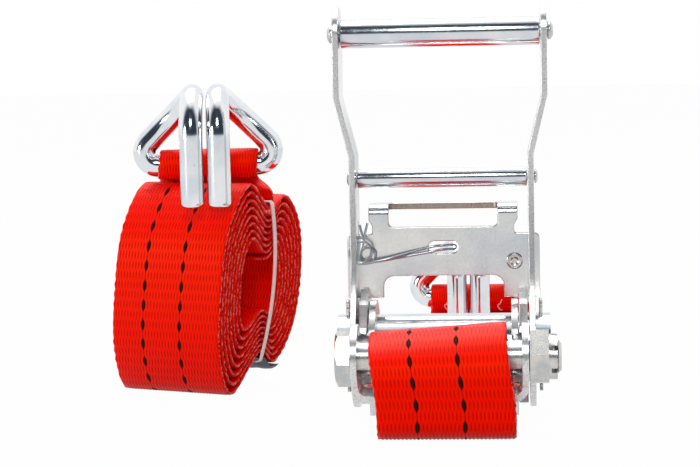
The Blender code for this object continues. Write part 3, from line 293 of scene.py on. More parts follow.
def sheared_finish(name, burnished, torn_tint, stain_tint, rough, depth_mm):
    """Cut wall of a sheet: burnished streaks between torn ones, stained in places."""
    finish = bpy.data.materials.new(name)
    finish.use_nodes = True
    tree = finish.node_tree
    shader = tree.nodes["Principled BSDF"]
    shader.inputs["Metallic"].default_value = 0.9
    shader.inputs["Roughness"].default_value = rough
    place = add_node(tree, "TexCoord", {}).outputs["Object"]
    torn = add_node(tree, "TexNoise", {"Vector": place, "Scale": 1 / (0.7 * MM), "Detail": 3.0,
                                       "Roughness": 0.7})
    stain = add_node(tree, "TexNoise", {"Vector": place, "Scale": 1 / (6.0 * MM), "Detail": 2.0})
    torn_share = add_node(tree, "MapRange", {"Value": torn.outputs[0], "From Min": 0.34,
                                             "From Max": 0.56})
    stain_share = add_node(tree, "MapRange", {"Value": stain.outputs[0], "From Min": 0.35,
                                              "From Max": 0.65})
    dark = add_node(tree, "Mix", {0: stain_share.outputs[0], 6: linear(torn_tint), 7: linear(stain_tint)},
                    data_type="RGBA")
    colour = add_node(tree, "Mix", {0: torn_share.outputs[0], 6: dark.outputs[2], 7: linear(burnished)},
                      data_type="RGBA")
    tree.links.new(colour.outputs[2], shader.inputs["Base Color"])
    bump = add_node(tree, "Bump", {"Height": torn.outputs[0], "Strength": 0.4, "Distance": depth_mm * MM})
    tree.links.new(bump.outputs[0], shader.inputs["Normal"])
    return finish


PLATED_EDGE = sheared_finish("zinc_on_sheared_edge", "#EAEAEA", "#CBD0D4", "#BCB7B1", 0.28, 0.02)
BARE_EDGE = sheared_finish("thinly_plated_sheared_edge", "#B9AFA6", "#8C8078", "#76604F", 0.42, 0.04)
print("sheared edge finishes: plated, bare")

# %% [markdown]
# ## Making a piece
#
# Every finished piece goes through one function: it gets its mesh, its finishes and the body of the
# CAD node that it stands for, and hides that node. Round parts come from one profile spun about the X
# axis, and bent wire comes from a ring that is extruded from station to station along its line.

# %% Piece, turning and sweeping helpers
MERGE = 1e-6


def add_piece(name, bm, finishes, node, replace=True, sharp=35.0, rides=True):
    """Finish a mesh as a piece of the body of a CAD node, and hide that node."""
    mesh = bpy.data.meshes.new(name)
    for face in bm.faces:
        face.smooth = True
    bm.to_mesh(mesh)
    bm.free()
    mesh.set_sharp_from_angle(angle=math.radians(sharp))
    for finish in finishes:
        mesh.materials.append(finish)
    piece = bpy.data.objects.new(name, mesh)
    bpy.context.scene.collection.objects.link(piece)
    if rides:
        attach(piece, body_of_node[node])
    if replace:
        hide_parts(node)
    print(name, len(mesh.polygons), "faces")
    return piece


def arc(centre, radius, start, end, steps):
    """Points of an arc, with angles in degrees from the first axis."""
    points = []
    for k in range(steps + 1):
        angle = math.radians(start + (end - start) * k / steps)
        points.append((centre[0] + radius * math.cos(angle), centre[1] + radius * math.sin(angle)))
    return points


def rounded(corners, steps=5):
    """Line through corners given as (a, b, radius), each filleted to its radius."""
    line = []
    for k, (a, b, radius) in enumerate(corners):
        here = Vector((a, b))
        if radius == 0:
            line.append(here)
            continue
        before = (Vector(corners[k - 1][:2]) - here).normalized()
        after = (Vector(corners[(k + 1) % len(corners)][:2]) - here).normalized()
        half = before.angle(after) / 2
        centre = here + (before + after).normalized() * radius / math.sin(half)
        first = (here + before * radius / math.tan(half) - centre).normalized()
        last = (here + after * radius / math.tan(half) - centre).normalized()
        line += [centre + first.slerp(last, j / steps) * radius for j in range(steps + 1)]
    return line


def ease(value, low, high):
    """0 at low, 1 at high, with a smooth start and end."""
    t = min(1.0, max(0.0, (value - low) / (high - low)))
    return t * t * (3 - 2 * t)


def turned(profile, steps=64):
    """Spin a profile of (place, radius) about the X axis; one that ends where it starts is a tube."""
    bm = bmesh.new()
    line = [bm.verts.new((x, radius, 0.0)) for x, radius in profile]
    edges = [bm.edges.new(pair) for pair in zip(line, line[1:])]
    bmesh.ops.spin(bm, geom=line + edges, axis=(1, 0, 0), angle=2 * math.pi, steps=steps, use_merge=True)
    bmesh.ops.remove_doubles(bm, verts=bm.verts, dist=MERGE)
    bmesh.ops.recalc_face_normals(bm, faces=bm.faces)
    return bm


def smooth_line(points, steps):
    """Points of the smooth curve that passes through the given ones."""
    points = [Vector(p) for p in points]
    padded = [2 * points[0] - points[1]] + points + [2 * points[-1] - points[-2]]
    line = []
    for p0, p1, p2, p3 in zip(padded, padded[1:], padded[2:], padded[3:]):
        for k in range(steps):
            u = k / steps
            curve = 2 * p1 + (p2 - p0) * u + (2 * p0 - 5 * p1 + 4 * p2 - p3) * u ** 2
            line.append((curve + (3 * p1 - p0 - 3 * p2 + p3) * u ** 3) / 2)
    return line + [points[-1]]


def swept(line, radii, around):
    """Extrude a round section along a line, with one radius to a station."""
    bm = bmesh.new()
    line = [Vector(p) for p in line]
    ring = None
    for k, point in enumerate(line):
        tangent = (line[min(k + 1, len(line) - 1)] - line[max(k - 1, 0)]).normalized()
        if k == 0:
            turn = tangent.to_track_quat("Z", "Y")
        else:
            turn = last_tangent.rotation_difference(tangent) @ turn
        last_tangent = tangent
        station = Matrix.Translation(point) @ turn.to_matrix().to_4x4() @ Matrix.Scale(radii[k], 4)
        if k == 0:
            made = bmesh.ops.create_circle(bm, cap_ends=True, segments=around, radius=1.0, matrix=station)
            ring = list(bm.edges)
        else:
            made = bmesh.ops.extrude_edge_only(bm, edges=ring)
            moved = {item for item in made["geom"] if isinstance(item, bmesh.types.BMVert)}
            ring = [item for item in made["geom"] if isinstance(item, bmesh.types.BMEdge)
                    and item.verts[0] in moved and item.verts[1] in moved]
            bmesh.ops.transform(bm, matrix=station @ last_station.inverted(), verts=list(moved))
        last_station = station
    bmesh.ops.contextual_create(bm, geom=ring)
    bmesh.ops.recalc_face_normals(bm, faces=bm.faces)
    return bm


# %% [markdown]
# ## Pressed sheet parts
#
# The base, the handle plates, the two pawls and the ratchet wheels are blanked from sheet and bent.
# Their CAD shapes are right, but a CAD corner is a razor edge and no pressed part has one. A copy of
# each node is merged and its flat faces joined, faces that are not a sheet's thickness from the one
# behind them are marked as sheared edge, and then every sharp edge gets a small bevel that catches a
# line of light. A Weighted Normal modifier keeps the broad faces flat to the eye.

# %% Soften the pressed parts


def softened(node, thick, radius):
    """Merged copy of a CAD node with its sheared walls marked and its sharp edges rounded."""
    bm = bmesh.new()
    bm.from_mesh(nodes[node].data)
    bmesh.ops.remove_doubles(bm, verts=bm.verts, dist=MERGE)
    bm.normal_update()
    solid = BVHTree.FromBMesh(bm)
    for face in bm.faces:
        start = face.calc_center_median() - face.normal * 0.05 * thick
        distance = solid.ray_cast(start, -face.normal)[3]
        broad = distance is not None and abs(distance + 0.05 * thick - thick) < 0.2 * thick
        face.material_index = 0 if broad else 1
    bmesh.ops.dissolve_limit(bm, angle_limit=math.radians(1.0), verts=bm.verts, edges=bm.edges,
                             delimit={"MATERIAL"})
    sharp = [edge for edge in bm.edges if edge.calc_face_angle(0.0) > math.radians(38.0)]
    bmesh.ops.bevel(bm, geom=sharp, offset=radius, offset_type="OFFSET", segments=2, profile=0.5,
                    affect="EDGES", clamp_overlap=True, material=-1)
    return bm


def flat_faces(piece):
    """Let the broad faces of a piece set the shading of the bevels beside them."""
    weighted = piece.modifiers.new("broad_faces", "WEIGHTED_NORMAL")
    weighted.keep_sharp = True
    return piece


PRESSED = [
    ("base_frame", 2.5, 0.40, PLATED_EDGE), ("lock_pawl", 2.5, 0.30, PLATED_EDGE),
    ("handle_plate_left", 2.3, 0.35, PLATED_EDGE), ("handle_plate_right", 2.3, 0.35, PLATED_EDGE),
    ("drive_pawl", 2.5, 0.35, BARE_EDGE),
    ("ratchet_wheel_left", 3.3, 0.30, PLATED_EDGE), ("ratchet_wheel_right", 3.3, 0.30, PLATED_EDGE),
]
for node, thick_mm, edge_mm, cut_wall in PRESSED:
    bm = softened(node, thick_mm * MM, edge_mm * MM)
    flat_faces(add_piece(node + "_pressed", bm, [SHEET_ZINC, cut_wall], node, sharp=60.0))

# %% [markdown]
# ## Strap bolt and nut
#
# The bolt is a plain hex bolt: a blank turned with a 30 degree cone on its head, which six cuts make
# into a hexagon, so the flats end in the curved scallops that every real hex head shows. The slotted
# nut keeps its CAD shape, with its edges rounded as on the sheet parts.

# %% Bolt and nut
BOLT_Y = -0.048
BOLT_Z = 0.0279
BOLT_RADIUS = 0.006
HEAD_THICK = 0.0055
HEX_FLATS = 0.019
HEAD_TURN = 5.0
THREAD_PITCH = 0.00175
THREAD_DEPTH = 0.0006

low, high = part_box("strap_bolt")
seat = low[0] + HEAD_THICK
corner = HEX_FLATS / math.sqrt(3)
face_radius = 0.475 * HEX_FLATS
cone = (corner - face_radius) * math.tan(math.radians(30.0))
profile = rounded([
    (low[0], 0.0, 0), (low[0], face_radius, 0), (low[0] + cone, corner, 0), (seat, corner, 0),
    (seat, BOLT_RADIUS, 0),
])
place = high[0] - 7 * THREAD_PITCH
while place < high[0] - THREAD_PITCH:
    profile.append(Vector((place, BOLT_RADIUS)))
    profile.append(Vector((place + 0.5 * THREAD_PITCH, BOLT_RADIUS - THREAD_DEPTH)))
    place += THREAD_PITCH
profile += rounded([(high[0] - 0.0011, BOLT_RADIUS, 0), (high[0], BOLT_RADIUS - 0.0011, 0.0004),
                    (high[0], 0.0, 0)])
bm = turned(profile, steps=96)
for k in range(6):
    angle = math.radians(60.0 * k + 30.0 + HEAD_TURN)
    out = Vector((0.0, math.cos(angle), math.sin(angle)))
    cut = bmesh.ops.bisect_plane(bm, geom=bm.verts[:] + bm.edges[:] + bm.faces[:], dist=MERGE,
                                 plane_co=out * HEX_FLATS / 2, plane_no=out, clear_outer=True)
    rim = [item for item in cut["geom_cut"] if isinstance(item, bmesh.types.BMEdge)]
    bmesh.ops.contextual_create(bm, geom=rim)
bmesh.ops.recalc_face_normals(bm, faces=bm.faces)
bmesh.ops.translate(bm, verts=bm.verts, vec=(0.0, BOLT_Y, BOLT_Z))
add_piece("strap_bolt_turned", bm, [FASTENER_ZINC], "strap_bolt", sharp=25.0)

bm = softened("strap_bolt_nut", 0.0025, 0.00035)
nut = add_piece("strap_bolt_nut_softened", bm, [FASTENER_ZINC, FASTENER_ZINC], "strap_bolt_nut", sharp=60.0)
flat_faces(nut)

# %% [markdown]
# ## Tubes and rivets of the handle
#
# The grip and the spacer are cut tubes with a small round at each lip, and a rivet runs through each
# and is peened outside the plates. They are all turned about the X axis from short profiles, and their
# places and sizes are read from the boxes of their CAD nodes.

# %% Tubes and rivets
TUBES = [("grip_tube", 0.0035, 0.0006), ("spacer_tube", 0.0021, 0.0004)]
for node, inner, lip in TUBES:
    low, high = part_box(node)
    outer = (high[2] - low[2]) / 2
    ends = [(low[0], inner, 0), (low[0], outer, lip), (high[0], outer, lip), (high[0], inner, 0)]
    profile = rounded(ends)
    bm = turned(profile + profile[:1], steps=72)
    bmesh.ops.translate(bm, verts=bm.verts, vec=(0.0, (low[1] + high[1]) / 2, (low[2] + high[2]) / 2))
    add_piece(node + "_drawn", bm, [TUBE_ZINC], node)

RIVETS = [("grip_rivet", 0.0025, 0.0022), ("spacer_rivet", 0.0018, 0.0012)]
for node, shank, proud in RIVETS:
    low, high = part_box(node)
    head = (high[2] - low[2]) / 2
    end = high[0]
    side = rounded([(end - proud, shank, 0), (end - proud, head, 0.3 * proud),
                    (end - 0.45 * proud, head, 0.3 * proud), (end, 0.55 * head, 0.4 * proud),
                    (end, 0.0, 0)])
    other = [Vector((-point.x, point.y)) for point in reversed(side)]
    bm = turned(other + side, steps=40)
    bmesh.ops.translate(bm, verts=bm.verts, vec=(0.0, (low[1] + high[1]) / 2, (low[2] + high[2]) / 2))
    add_piece(node + "_peened", bm, [FASTENER_ZINC], node)

# %% [markdown]
# ## Eyelet stud of the drive pawl
#
# A hollow rivet is rolled over on the pawl's face: a bright ring with a dimple in the middle. Its
# profile is turned about X like the others, and the finished mesh is then turned to face forward.

# %% Stud
low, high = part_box("drive_pawl_stud")
head = (high[0] - low[0]) / 2
depth = high[1] - low[1]
HEAD_PROUD = 0.0009
profile = rounded([
    (-0.0003, 0.0, 0), (-0.0003, 0.32 * head, 0.0003), (0.0, 0.52 * head, 0.0004),
    (0.0, 0.86 * head, 0.0004), (-HEAD_PROUD, head, 0.0002), (-HEAD_PROUD, 0.56 * head, 0),
    (0.3 * HEAD_PROUD - depth, 0.56 * head, 0),
    (0.2 * HEAD_PROUD - depth, 0.70 * head, 0.0002), (-depth, 0.55 * head, 0.0002), (-depth, 0.0, 0),
])
bm = turned(profile, steps=48)
facing = Matrix.Translation(((low[0] + high[0]) / 2, low[1], (low[2] + high[2]) / 2))
bmesh.ops.transform(bm, matrix=facing @ Matrix.Rotation(math.radians(-90.0), 4, "Z"), verts=bm.verts)
add_piece("drive_pawl_stud_rolled", bm, [FASTENER_ZINC], "drive_pawl_stud")

# %% [markdown]
# ## Spindle bars and split pins
#
# The strap is wound on two half-round bars with a slot between them. Each bar is a circle cut by a
# plane, extruded along X and bevelled. The split pins that hold the bars and wheels together are bent
# from soft half-round wire, shown here as a round wire with an eye and two splayed legs.

# %% Spindle bars and pins
SPINDLE_HEIGHT = 0.025
SPINDLE_RADIUS = 0.0124
SPINDLE_SLOT = 0.006
for node, side in (("spindle_half_upper", 1.0), ("spindle_half_lower", -1.0)):
    low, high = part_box(node)
    bm = bmesh.new()
    across_x = Matrix.Translation((low[0], 0.0, 0.0)) @ Matrix.Rotation(math.radians(90.0), 4, "Y")
    bmesh.ops.create_circle(bm, cap_ends=True, segments=96, radius=SPINDLE_RADIUS, matrix=across_x)
    bmesh.ops.bisect_plane(bm, geom=bm.verts[:] + bm.edges[:] + bm.faces[:], dist=MERGE, clear_inner=True,
                           plane_co=(0.0, 0.0, side * SPINDLE_SLOT / 2), plane_no=(0.0, 0.0, side))
    made = bmesh.ops.extrude_face_region(bm, geom=bm.faces[:])
    moved = [item for item in made["geom"] if isinstance(item, bmesh.types.BMVert)]
    bmesh.ops.translate(bm, verts=moved, vec=(high[0] - low[0], 0.0, 0.0))
    bmesh.ops.recalc_face_normals(bm, faces=bm.faces)
    sharp = [edge for edge in bm.edges if edge.calc_face_angle(0.0) > math.radians(38.0)]
    bmesh.ops.bevel(bm, geom=sharp, offset=0.0005, offset_type="OFFSET", segments=3, profile=0.5,
                    affect="EDGES", clamp_overlap=True, material=-1)
    bmesh.ops.translate(bm, verts=bm.verts, vec=(0.0, 0.0, SPINDLE_HEIGHT))
    flat_faces(add_piece(node + "_drawn", bm, [TUBE_ZINC], node, sharp=60.0))

PIN_X = 0.0373
PIN_WIRE = 0.0007
PIN_LEG = 0.00095
PIN_HALF = 0.0176
PIN_EYE = 0.0016
PIN_EYE_GAP = 35.0
PIN_NECK = 0.0026
PIN_SPLAY = 0.0013
eye_z = PIN_HALF - PIN_EYE
side_view = [(-PIN_LEG - PIN_SPLAY, -PIN_HALF), (-PIN_LEG, -PIN_HALF + 4 * PIN_SPLAY)]
side_view += [(-PIN_LEG, eye_z - PIN_NECK)]
side_view += arc((0.0, eye_z), PIN_EYE, 180.0 + PIN_EYE_GAP, -PIN_EYE_GAP, 10)
side_view += [(PIN_LEG, eye_z - PIN_NECK)]
side_view += [(PIN_LEG, -PIN_HALF + 4 * PIN_SPLAY), (PIN_LEG + PIN_SPLAY, -PIN_HALF)]
for node, side in (("split_pin_left", -1.0), ("split_pin_right", 1.0)):
    line = smooth_line([(side * PIN_X, y, SPINDLE_HEIGHT + z) for y, z in side_view], 4)
    bm = swept(line, [PIN_WIRE] * len(line), 12)
    add_piece(node + "_bent", bm, [FASTENER_ZINC], node)

# %% [markdown]
# ## Springs
#
# The drive pawl's spring is one bent wire: a coil in front of the plate, an upper leg to a nose in the
# oval slot, and a lower leg to a second coil. It follows the points of the CAD wire on a smooth curve.
# Its mesh is set in place and rides on no body. The two lock springs are plain coils in the base,
# each on the body of its CAD node.

# %% Springs
FIT = 0.0003
PAWL_FRONT = 0.001
PAWL_MID = 0.00225
SPRING_WIRE = 0.0005
SPRING_NOSE = 0.0008
SPRING_LEG_DROP = 0.0018
SPRING_END_UP = 0.048
OVAL_UP = 0.0382
OVAL_LENGTH = 0.0116
COIL_A_UP = 0.0374
COIL_A_RADIUS = 0.0043
COIL_A_FRONT = 0.0066
COIL_A_BACK = 0.004
COIL_A_LEAD = 0.0013
COIL_B_UP = 0.0356
COIL_B_RADIUS = 0.003
COIL_B_FRONT = 0.0025
COIL_B_REACH = 0.0066
HANDLE_IN = 0.0329
COIL_A_X = -HANDLE_IN + 0.0011
COIL_B_X = -HANDLE_IN + 0.0037

touch = PAWL_FRONT - FIT - SPRING_WIRE
nose_x = OVAL_LENGTH / 2 - FIT - SPRING_WIRE - SPRING_NOSE
points = [(COIL_A_X, touch - COIL_A_FRONT, SPRING_END_UP)]
points += [(COIL_A_X + COIL_A_LEAD, touch - COIL_A_FRONT, COIL_A_UP + COIL_A_RADIUS + COIL_A_LEAD)]
turn_a = arc((COIL_A_X, COIL_A_UP), COIL_A_RADIUS, 70.0, 630.0, 15)
for k, (x, z) in enumerate(turn_a):
    points.append((x, touch - COIL_A_FRONT + (COIL_A_FRONT - COIL_A_BACK) * k / 15, z))
points += [(COIL_B_X + COIL_B_REACH, touch - COIL_A_BACK, turn_a[-1][1] + 2 * SPRING_WIRE)]
points += [(-OVAL_LENGTH / 2, touch, OVAL_UP), (0.0, touch, OVAL_UP + SPRING_NOSE)]
for x, z in arc((nose_x, OVAL_UP), SPRING_NOSE, 90.0, -90.0, 6):
    points.append((x, PAWL_MID, z))
points += [(0.0, touch, OVAL_UP - SPRING_NOSE), (-OVAL_LENGTH / 2, touch, OVAL_UP - SPRING_LEG_DROP)]
for k, (x, z) in enumerate(arc((COIL_B_X, COIL_B_UP), COIL_B_RADIUS, 270.0, -190.0, 13)):
    points.append((x, touch - COIL_B_FRONT * (1 - k / 13), z))
points += [(COIL_B_X, touch, SPRING_END_UP)]
line = smooth_line([(x, y, SPINDLE_HEIGHT + z) for x, y, z in points], 5)
bm = swept(line, [SPRING_WIRE] * len(line), 14)
wire_spring = add_piece("drive_pawl_spring_bent", bm, [SPRING_ZINC], "drive_pawl_spring", rides=False)
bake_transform(wire_spring)

LOCK_WIRE = 0.00025
LOCK_CURLS = 7
CURL_STEPS = 24
for node in ("lock_pawl_spring_left", "lock_pawl_spring_right"):
    low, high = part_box(node)
    coil = (high[2] - low[2]) / 2 - LOCK_WIRE
    middle = ((low[0] + high[0]) / 2, (low[2] + high[2]) / 2)
    turns = LOCK_CURLS * CURL_STEPS
    line = []
    for k in range(turns + 1):
        angle = 2 * math.pi * k / CURL_STEPS
        y = high[1] - LOCK_WIRE + (low[1] - high[1] + 2 * LOCK_WIRE) * k / turns
        line.append((middle[0] + coil * math.cos(angle), y, middle[1] + coil * math.sin(angle)))
    bm = swept(line, [LOCK_WIRE] * len(line), 8)
    coil_spring = add_piece(node + "_coiled", bm, [SPRING_ZINC], node)
    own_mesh(coil_spring)

# %% [markdown]
# ## Double-J hooks
#
# Each hook is one length of thick wire, bent on a former: a base rod inside the strap's loop, two
# sloping arms, and two arches that come down side by side as prongs. The wire is swept along the CAD
# hook's line in finer steps. Its ends are sawn off and tumbled, so they are flat with a small round.

# %% Hooks
HOOK_WIRE = 0.0047
HOOK_CORNER = 0.0056
HOOK_ARM_ANGLE = 45.0
HOOK_STRAIGHT = 0.0203
HOOK_STAND = 0.0132
HOOK_ARCH = 0.0155
HOOK_SPREAD = 0.0053
HOOK_TIP = -0.015
TIP_ROUND = 0.0019


def hook_line():
    """Centre line of a double-J hook and the radius of its wire at each station."""
    reach = [(x, 0.0, z) for x, z in arc((HOOK_STRAIGHT, HOOK_CORNER), HOOK_CORNER, -90.0,
                                         90.0 - HOOK_ARM_ANGLE, 18)]
    arm_x, _, arm_z = reach[-1]
    slope = math.tan(math.radians(HOOK_ARM_ANGLE))
    for k in range(1, 5):
        z = arm_z + (HOOK_STAND - arm_z) * k / 4
        reach.append((arm_x - (z - arm_z) / slope, 0.0, z))
    top_x = arm_x - (HOOK_STAND + HOOK_ARCH - arm_z) / slope
    steps = 40
    for k in range(1, steps + 1):
        angle = math.pi * k / steps
        z = HOOK_STAND + HOOK_ARCH * math.sin(angle)
        if k <= steps / 2:
            x = arm_x - (z - arm_z) / slope
        else:
            x = top_x + (HOOK_SPREAD - top_x) * ease(k, steps / 2, steps)
        reach.append((x, -HOOK_ARCH * (1 - math.cos(angle)), z))
    radii = [HOOK_WIRE] * len(reach)
    straight = 10
    start = reach[-1][2]
    for k in range(1, straight):
        reach.append((HOOK_SPREAD, -2 * HOOK_ARCH, start + (HOOK_TIP + TIP_ROUND - start) * k / straight))
        radii.append(HOOK_WIRE)
    for k in range(7):
        angle = math.radians(90.0 * k / 6)
        reach.append((HOOK_SPREAD, -2 * HOOK_ARCH, HOOK_TIP + TIP_ROUND * (1 - math.sin(angle))))
        radii.append(HOOK_WIRE - TIP_ROUND * (1 - math.cos(angle)))
    mirrored = [(-x, y, z) for x, y, z in reversed(reach)]
    return mirrored + reach, radii[::-1] + radii


REAR_TURN = 2.6
HANK_TURN = -22.0
HANK_X = -0.1160
HANK_Y = 0.0223
HANK_LEAN = 0.11
HANK_HOOK_Y = 0.0255
HANK_HOOK_Z = 0.094
HANK_HOOK_TURN = 28.0
REAR_HOOK_AXIS = (0.00663, 0.205, 0.01685)
rear_turn = Matrix.Rotation(math.radians(-REAR_TURN), 4, "Z")
rear_hook_place = Matrix.Translation(REAR_HOOK_AXIS) @ rear_turn
hank_place = Matrix.Translation((HANK_X, HANK_Y, 0.0)) @ Matrix.Rotation(math.radians(HANK_TURN), 4, "Z")
hank_hook_place = hank_place @ Matrix.Translation((HANK_LEAN * HANK_HOOK_Z, HANK_HOOK_Y, HANK_HOOK_Z))
hank_hook_place = hank_hook_place @ Matrix.Rotation(math.radians(HANK_HOOK_TURN), 4, "Z")
line, radii = hook_line()
for node, place in (("rear_hook", rear_hook_place), ("hank_hook", hank_hook_place)):
    bm = swept([place @ Vector(p) for p in line], radii, 28)
    add_piece(node + "_bent", bm, [POLISHED_ZINC], node)

# %% [markdown]
# ## Red webbing
#
# The straps are woven polyester, 50 mm wide. Seen close, each warp yarn floats over the surface as a
# lens about 8 mm long, and its neighbours float half a repeat later, so the face is a lattice of small
# scales 1.45 mm apart. Two black marker yarns are the same lenses in another colour. The lattice is a
# product of two cosines of the place across and along the strap, which the mesh carries as attributes,
# so that relief and colour come from the same numbers; the crevices between the floats are painted a
# darker red as painted shade. Polyester is smooth and slightly glossy: the crests catch an orange light,
# and the selvedge rims carry pale pink flecks that are painted highlights.

# %% Webbing finish
STRAP_WIDTH = 0.050
WARP_COLUMNS = 69
COLUMN_STEP = STRAP_WIDTH / WARP_COLUMNS
FLOAT_REPEAT = 0.008
MARKER_COLUMNS = (20, 44)
MARKER_HALF = 0.00094

WEBBING = bpy.data.materials.new("woven_polyester_webbing")
WEBBING.use_nodes = True
tree = WEBBING.node_tree
shader = tree.nodes["Principled BSDF"]
shader.inputs["Specular IOR Level"].default_value = 0.60
shader.inputs["Specular Tint"].default_value = linear("#FF6A18")
across = add_node(tree, "Attribute", {}, attribute_name="across").outputs["Fac"]
along = add_node(tree, "Attribute", {}, attribute_name="along").outputs["Fac"]
rim = add_node(tree, "Attribute", {}, attribute_name="rim").outputs["Fac"]
from_edge = add_node(tree, "Math", {0: across, 1: STRAP_WIDTH / 2}, operation="ADD")
column = add_node(tree, "Math", {0: from_edge.outputs[0], 1: math.pi / COLUMN_STEP}, operation="MULTIPLY")
column = add_node(tree, "Math", {0: column.outputs[0]}, operation="COSINE")
row = add_node(tree, "Math", {0: along, 1: 2 * math.pi / FLOAT_REPEAT}, operation="MULTIPLY")
row = add_node(tree, "Math", {0: row.outputs[0]}, operation="COSINE")
lattice = add_node(tree, "Math", {0: column.outputs[0], 1: row.outputs[0]}, operation="MULTIPLY")
# Crevices between the floats are painted a darker red than the crests: painted shade in the weave's
# hollows.
unshaded_crest_share = add_node(tree, "MapRange", {"Value": lattice.outputs[0], "From Min": -0.85, "From Max": 0.30},
                 interpolation_type="SMOOTHSTEP")
place = add_node(tree, "TexCoord", {}).outputs["Object"]
dye = add_node(tree, "TexNoise", {"Vector": place, "Scale": 1 / (9.0 * MM), "Detail": 2.0})
dye_share = add_node(tree, "MapRange", {"Value": dye.outputs[0], "From Min": 0.3, "From Max": 0.7,
                                        "To Max": 0.35})
yarn = add_node(tree, "Mix", {0: dye_share.outputs[0], 6: linear("#FF0800"), 7: linear("#F60200")},
                data_type="RGBA")
colour = add_node(tree, "Mix", {0: unshaded_crest_share.outputs[0], 6: linear("#CC0000"), 7: yarn.outputs[2]},
                  data_type="RGBA")
marker_width = add_node(tree, "MapRange", {"Value": row.outputs[0], "From Min": -0.8, "From Max": 0.85,
                                           "To Min": 0.00005, "To Max": MARKER_HALF})
gloss = add_node(tree, "MapRange", {"Value": lattice.outputs[0], "From Min": -1.0, "From Max": 1.0,
                                    "To Min": 0.55, "To Max": 0.36}).outputs[0]
for marker_column in MARKER_COLUMNS:
    place_across = marker_column * COLUMN_STEP - STRAP_WIDTH / 2
    offset = add_node(tree, "Math", {0: across, 1: place_across}, operation="SUBTRACT")
    offset = add_node(tree, "Math", {0: offset.outputs[0]}, operation="ABSOLUTE")
    inside = add_node(tree, "Math", {0: marker_width.outputs[0], 1: offset.outputs[0]},
                      operation="SUBTRACT")
    mask = add_node(tree, "MapRange", {"Value": inside.outputs[0], "From Min": 0.00002,
                                       "From Max": 0.00014})
    colour = add_node(tree, "Mix", {0: mask.outputs[0], 6: colour.outputs[2], 7: linear("#06080B")},
                      data_type="RGBA")
    gloss = add_node(tree, "Math", {0: mask.outputs[0], 1: 0.35, 2: gloss},
                     operation="MULTIPLY_ADD").outputs[0]
# Pale pink flecks over a darker red on the selvedge rims are painted highlights, where the rim's loops
# would catch the light.
glint_fleck_noise = add_node(tree, "TexNoise", {"Vector": place, "Scale": 1 / (1.1 * MM), "Detail": 2.0})
painted_glint_share = add_node(tree, "MapRange", {"Value": glint_fleck_noise.outputs[0], "From Min": 0.42, "From Max": 0.62})
loops = add_node(tree, "Mix", {0: painted_glint_share.outputs[0], 6: linear("#B80E12"), 7: linear("#E88C88")},
                 data_type="RGBA")
rim_share = add_node(tree, "MapRange", {"Value": rim, "From Min": 0.25, "From Max": 0.75})
colour = add_node(tree, "Mix", {0: rim_share.outputs[0], 6: colour.outputs[2], 7: loops.outputs[2]},
                  data_type="RGBA")
tree.links.new(colour.outputs[2], shader.inputs["Base Color"])
tree.links.new(gloss, shader.inputs["Roughness"])
bump = add_node(tree, "Bump", {"Height": lattice.outputs[0], "Strength": 0.4, "Distance": 0.12 * MM})
tree.links.new(bump.outputs[0], shader.inputs["Normal"])
print("webbing: lattice of", round(2 * COLUMN_STEP / MM, 2), "by", FLOAT_REPEAT / MM, "mm")

# %% [markdown]
# ## Weaving a band in mesh
#
# A strap is one long grid whose short side wraps round the section: across the upper face, round one
# selvedge, back across the lower face and round the other. Each grid point is then moved to its place
# on the strap's path, with the weave's relief added to the thickness. Only the wrap's seam has to be
# merged, and the two ends filled, to close the mesh.

# %% Band helper
HALF_THICK = 0.00068
RELIEF = 0.00017
SELVEDGE = 0.0004
SCALLOP = 0.00024
SCALLOP_SWELL = 0.027
SCALLOP_REPEAT = 0.004


def lattice_at(across_share, along):
    """Height of the weave, from -1 to 1, at a share of the width and a place along the strap."""
    column = math.cos(math.pi * WARP_COLUMNS * (across_share + 1) / 2)
    return column * math.cos(2 * math.pi * along / FLOAT_REPEAT)


def resampled(path, steps):
    """Stations of a path at given distances along it, each as (distance, point, left normal)."""
    lengths = [0.0]
    for near, far in zip(path, path[1:]):
        lengths.append(lengths[-1] + (Vector(far[:2]) - Vector(near[:2])).length)
    stations = []
    k = 0
    for distance in steps(lengths[-1]):
        while k < len(path) - 2 and lengths[k + 1] < distance:
            k += 1
        share = (distance - lengths[k]) / (lengths[k + 1] - lengths[k])
        near, far = Vector(path[k]), Vector(path[k + 1])
        stations.append((distance, near.lerp(far, min(1.0, share))))
    result = []
    for k, (distance, point) in enumerate(stations):
        ahead = stations[min(k + 1, len(stations) - 1)][1]
        behind = stations[max(k - 1, 0)][1]
        tangent = Vector((ahead.x - behind.x, ahead.y - behind.y)).normalized()
        result.append((distance, point, Vector((-tangent.y, tangent.x))))
    return result


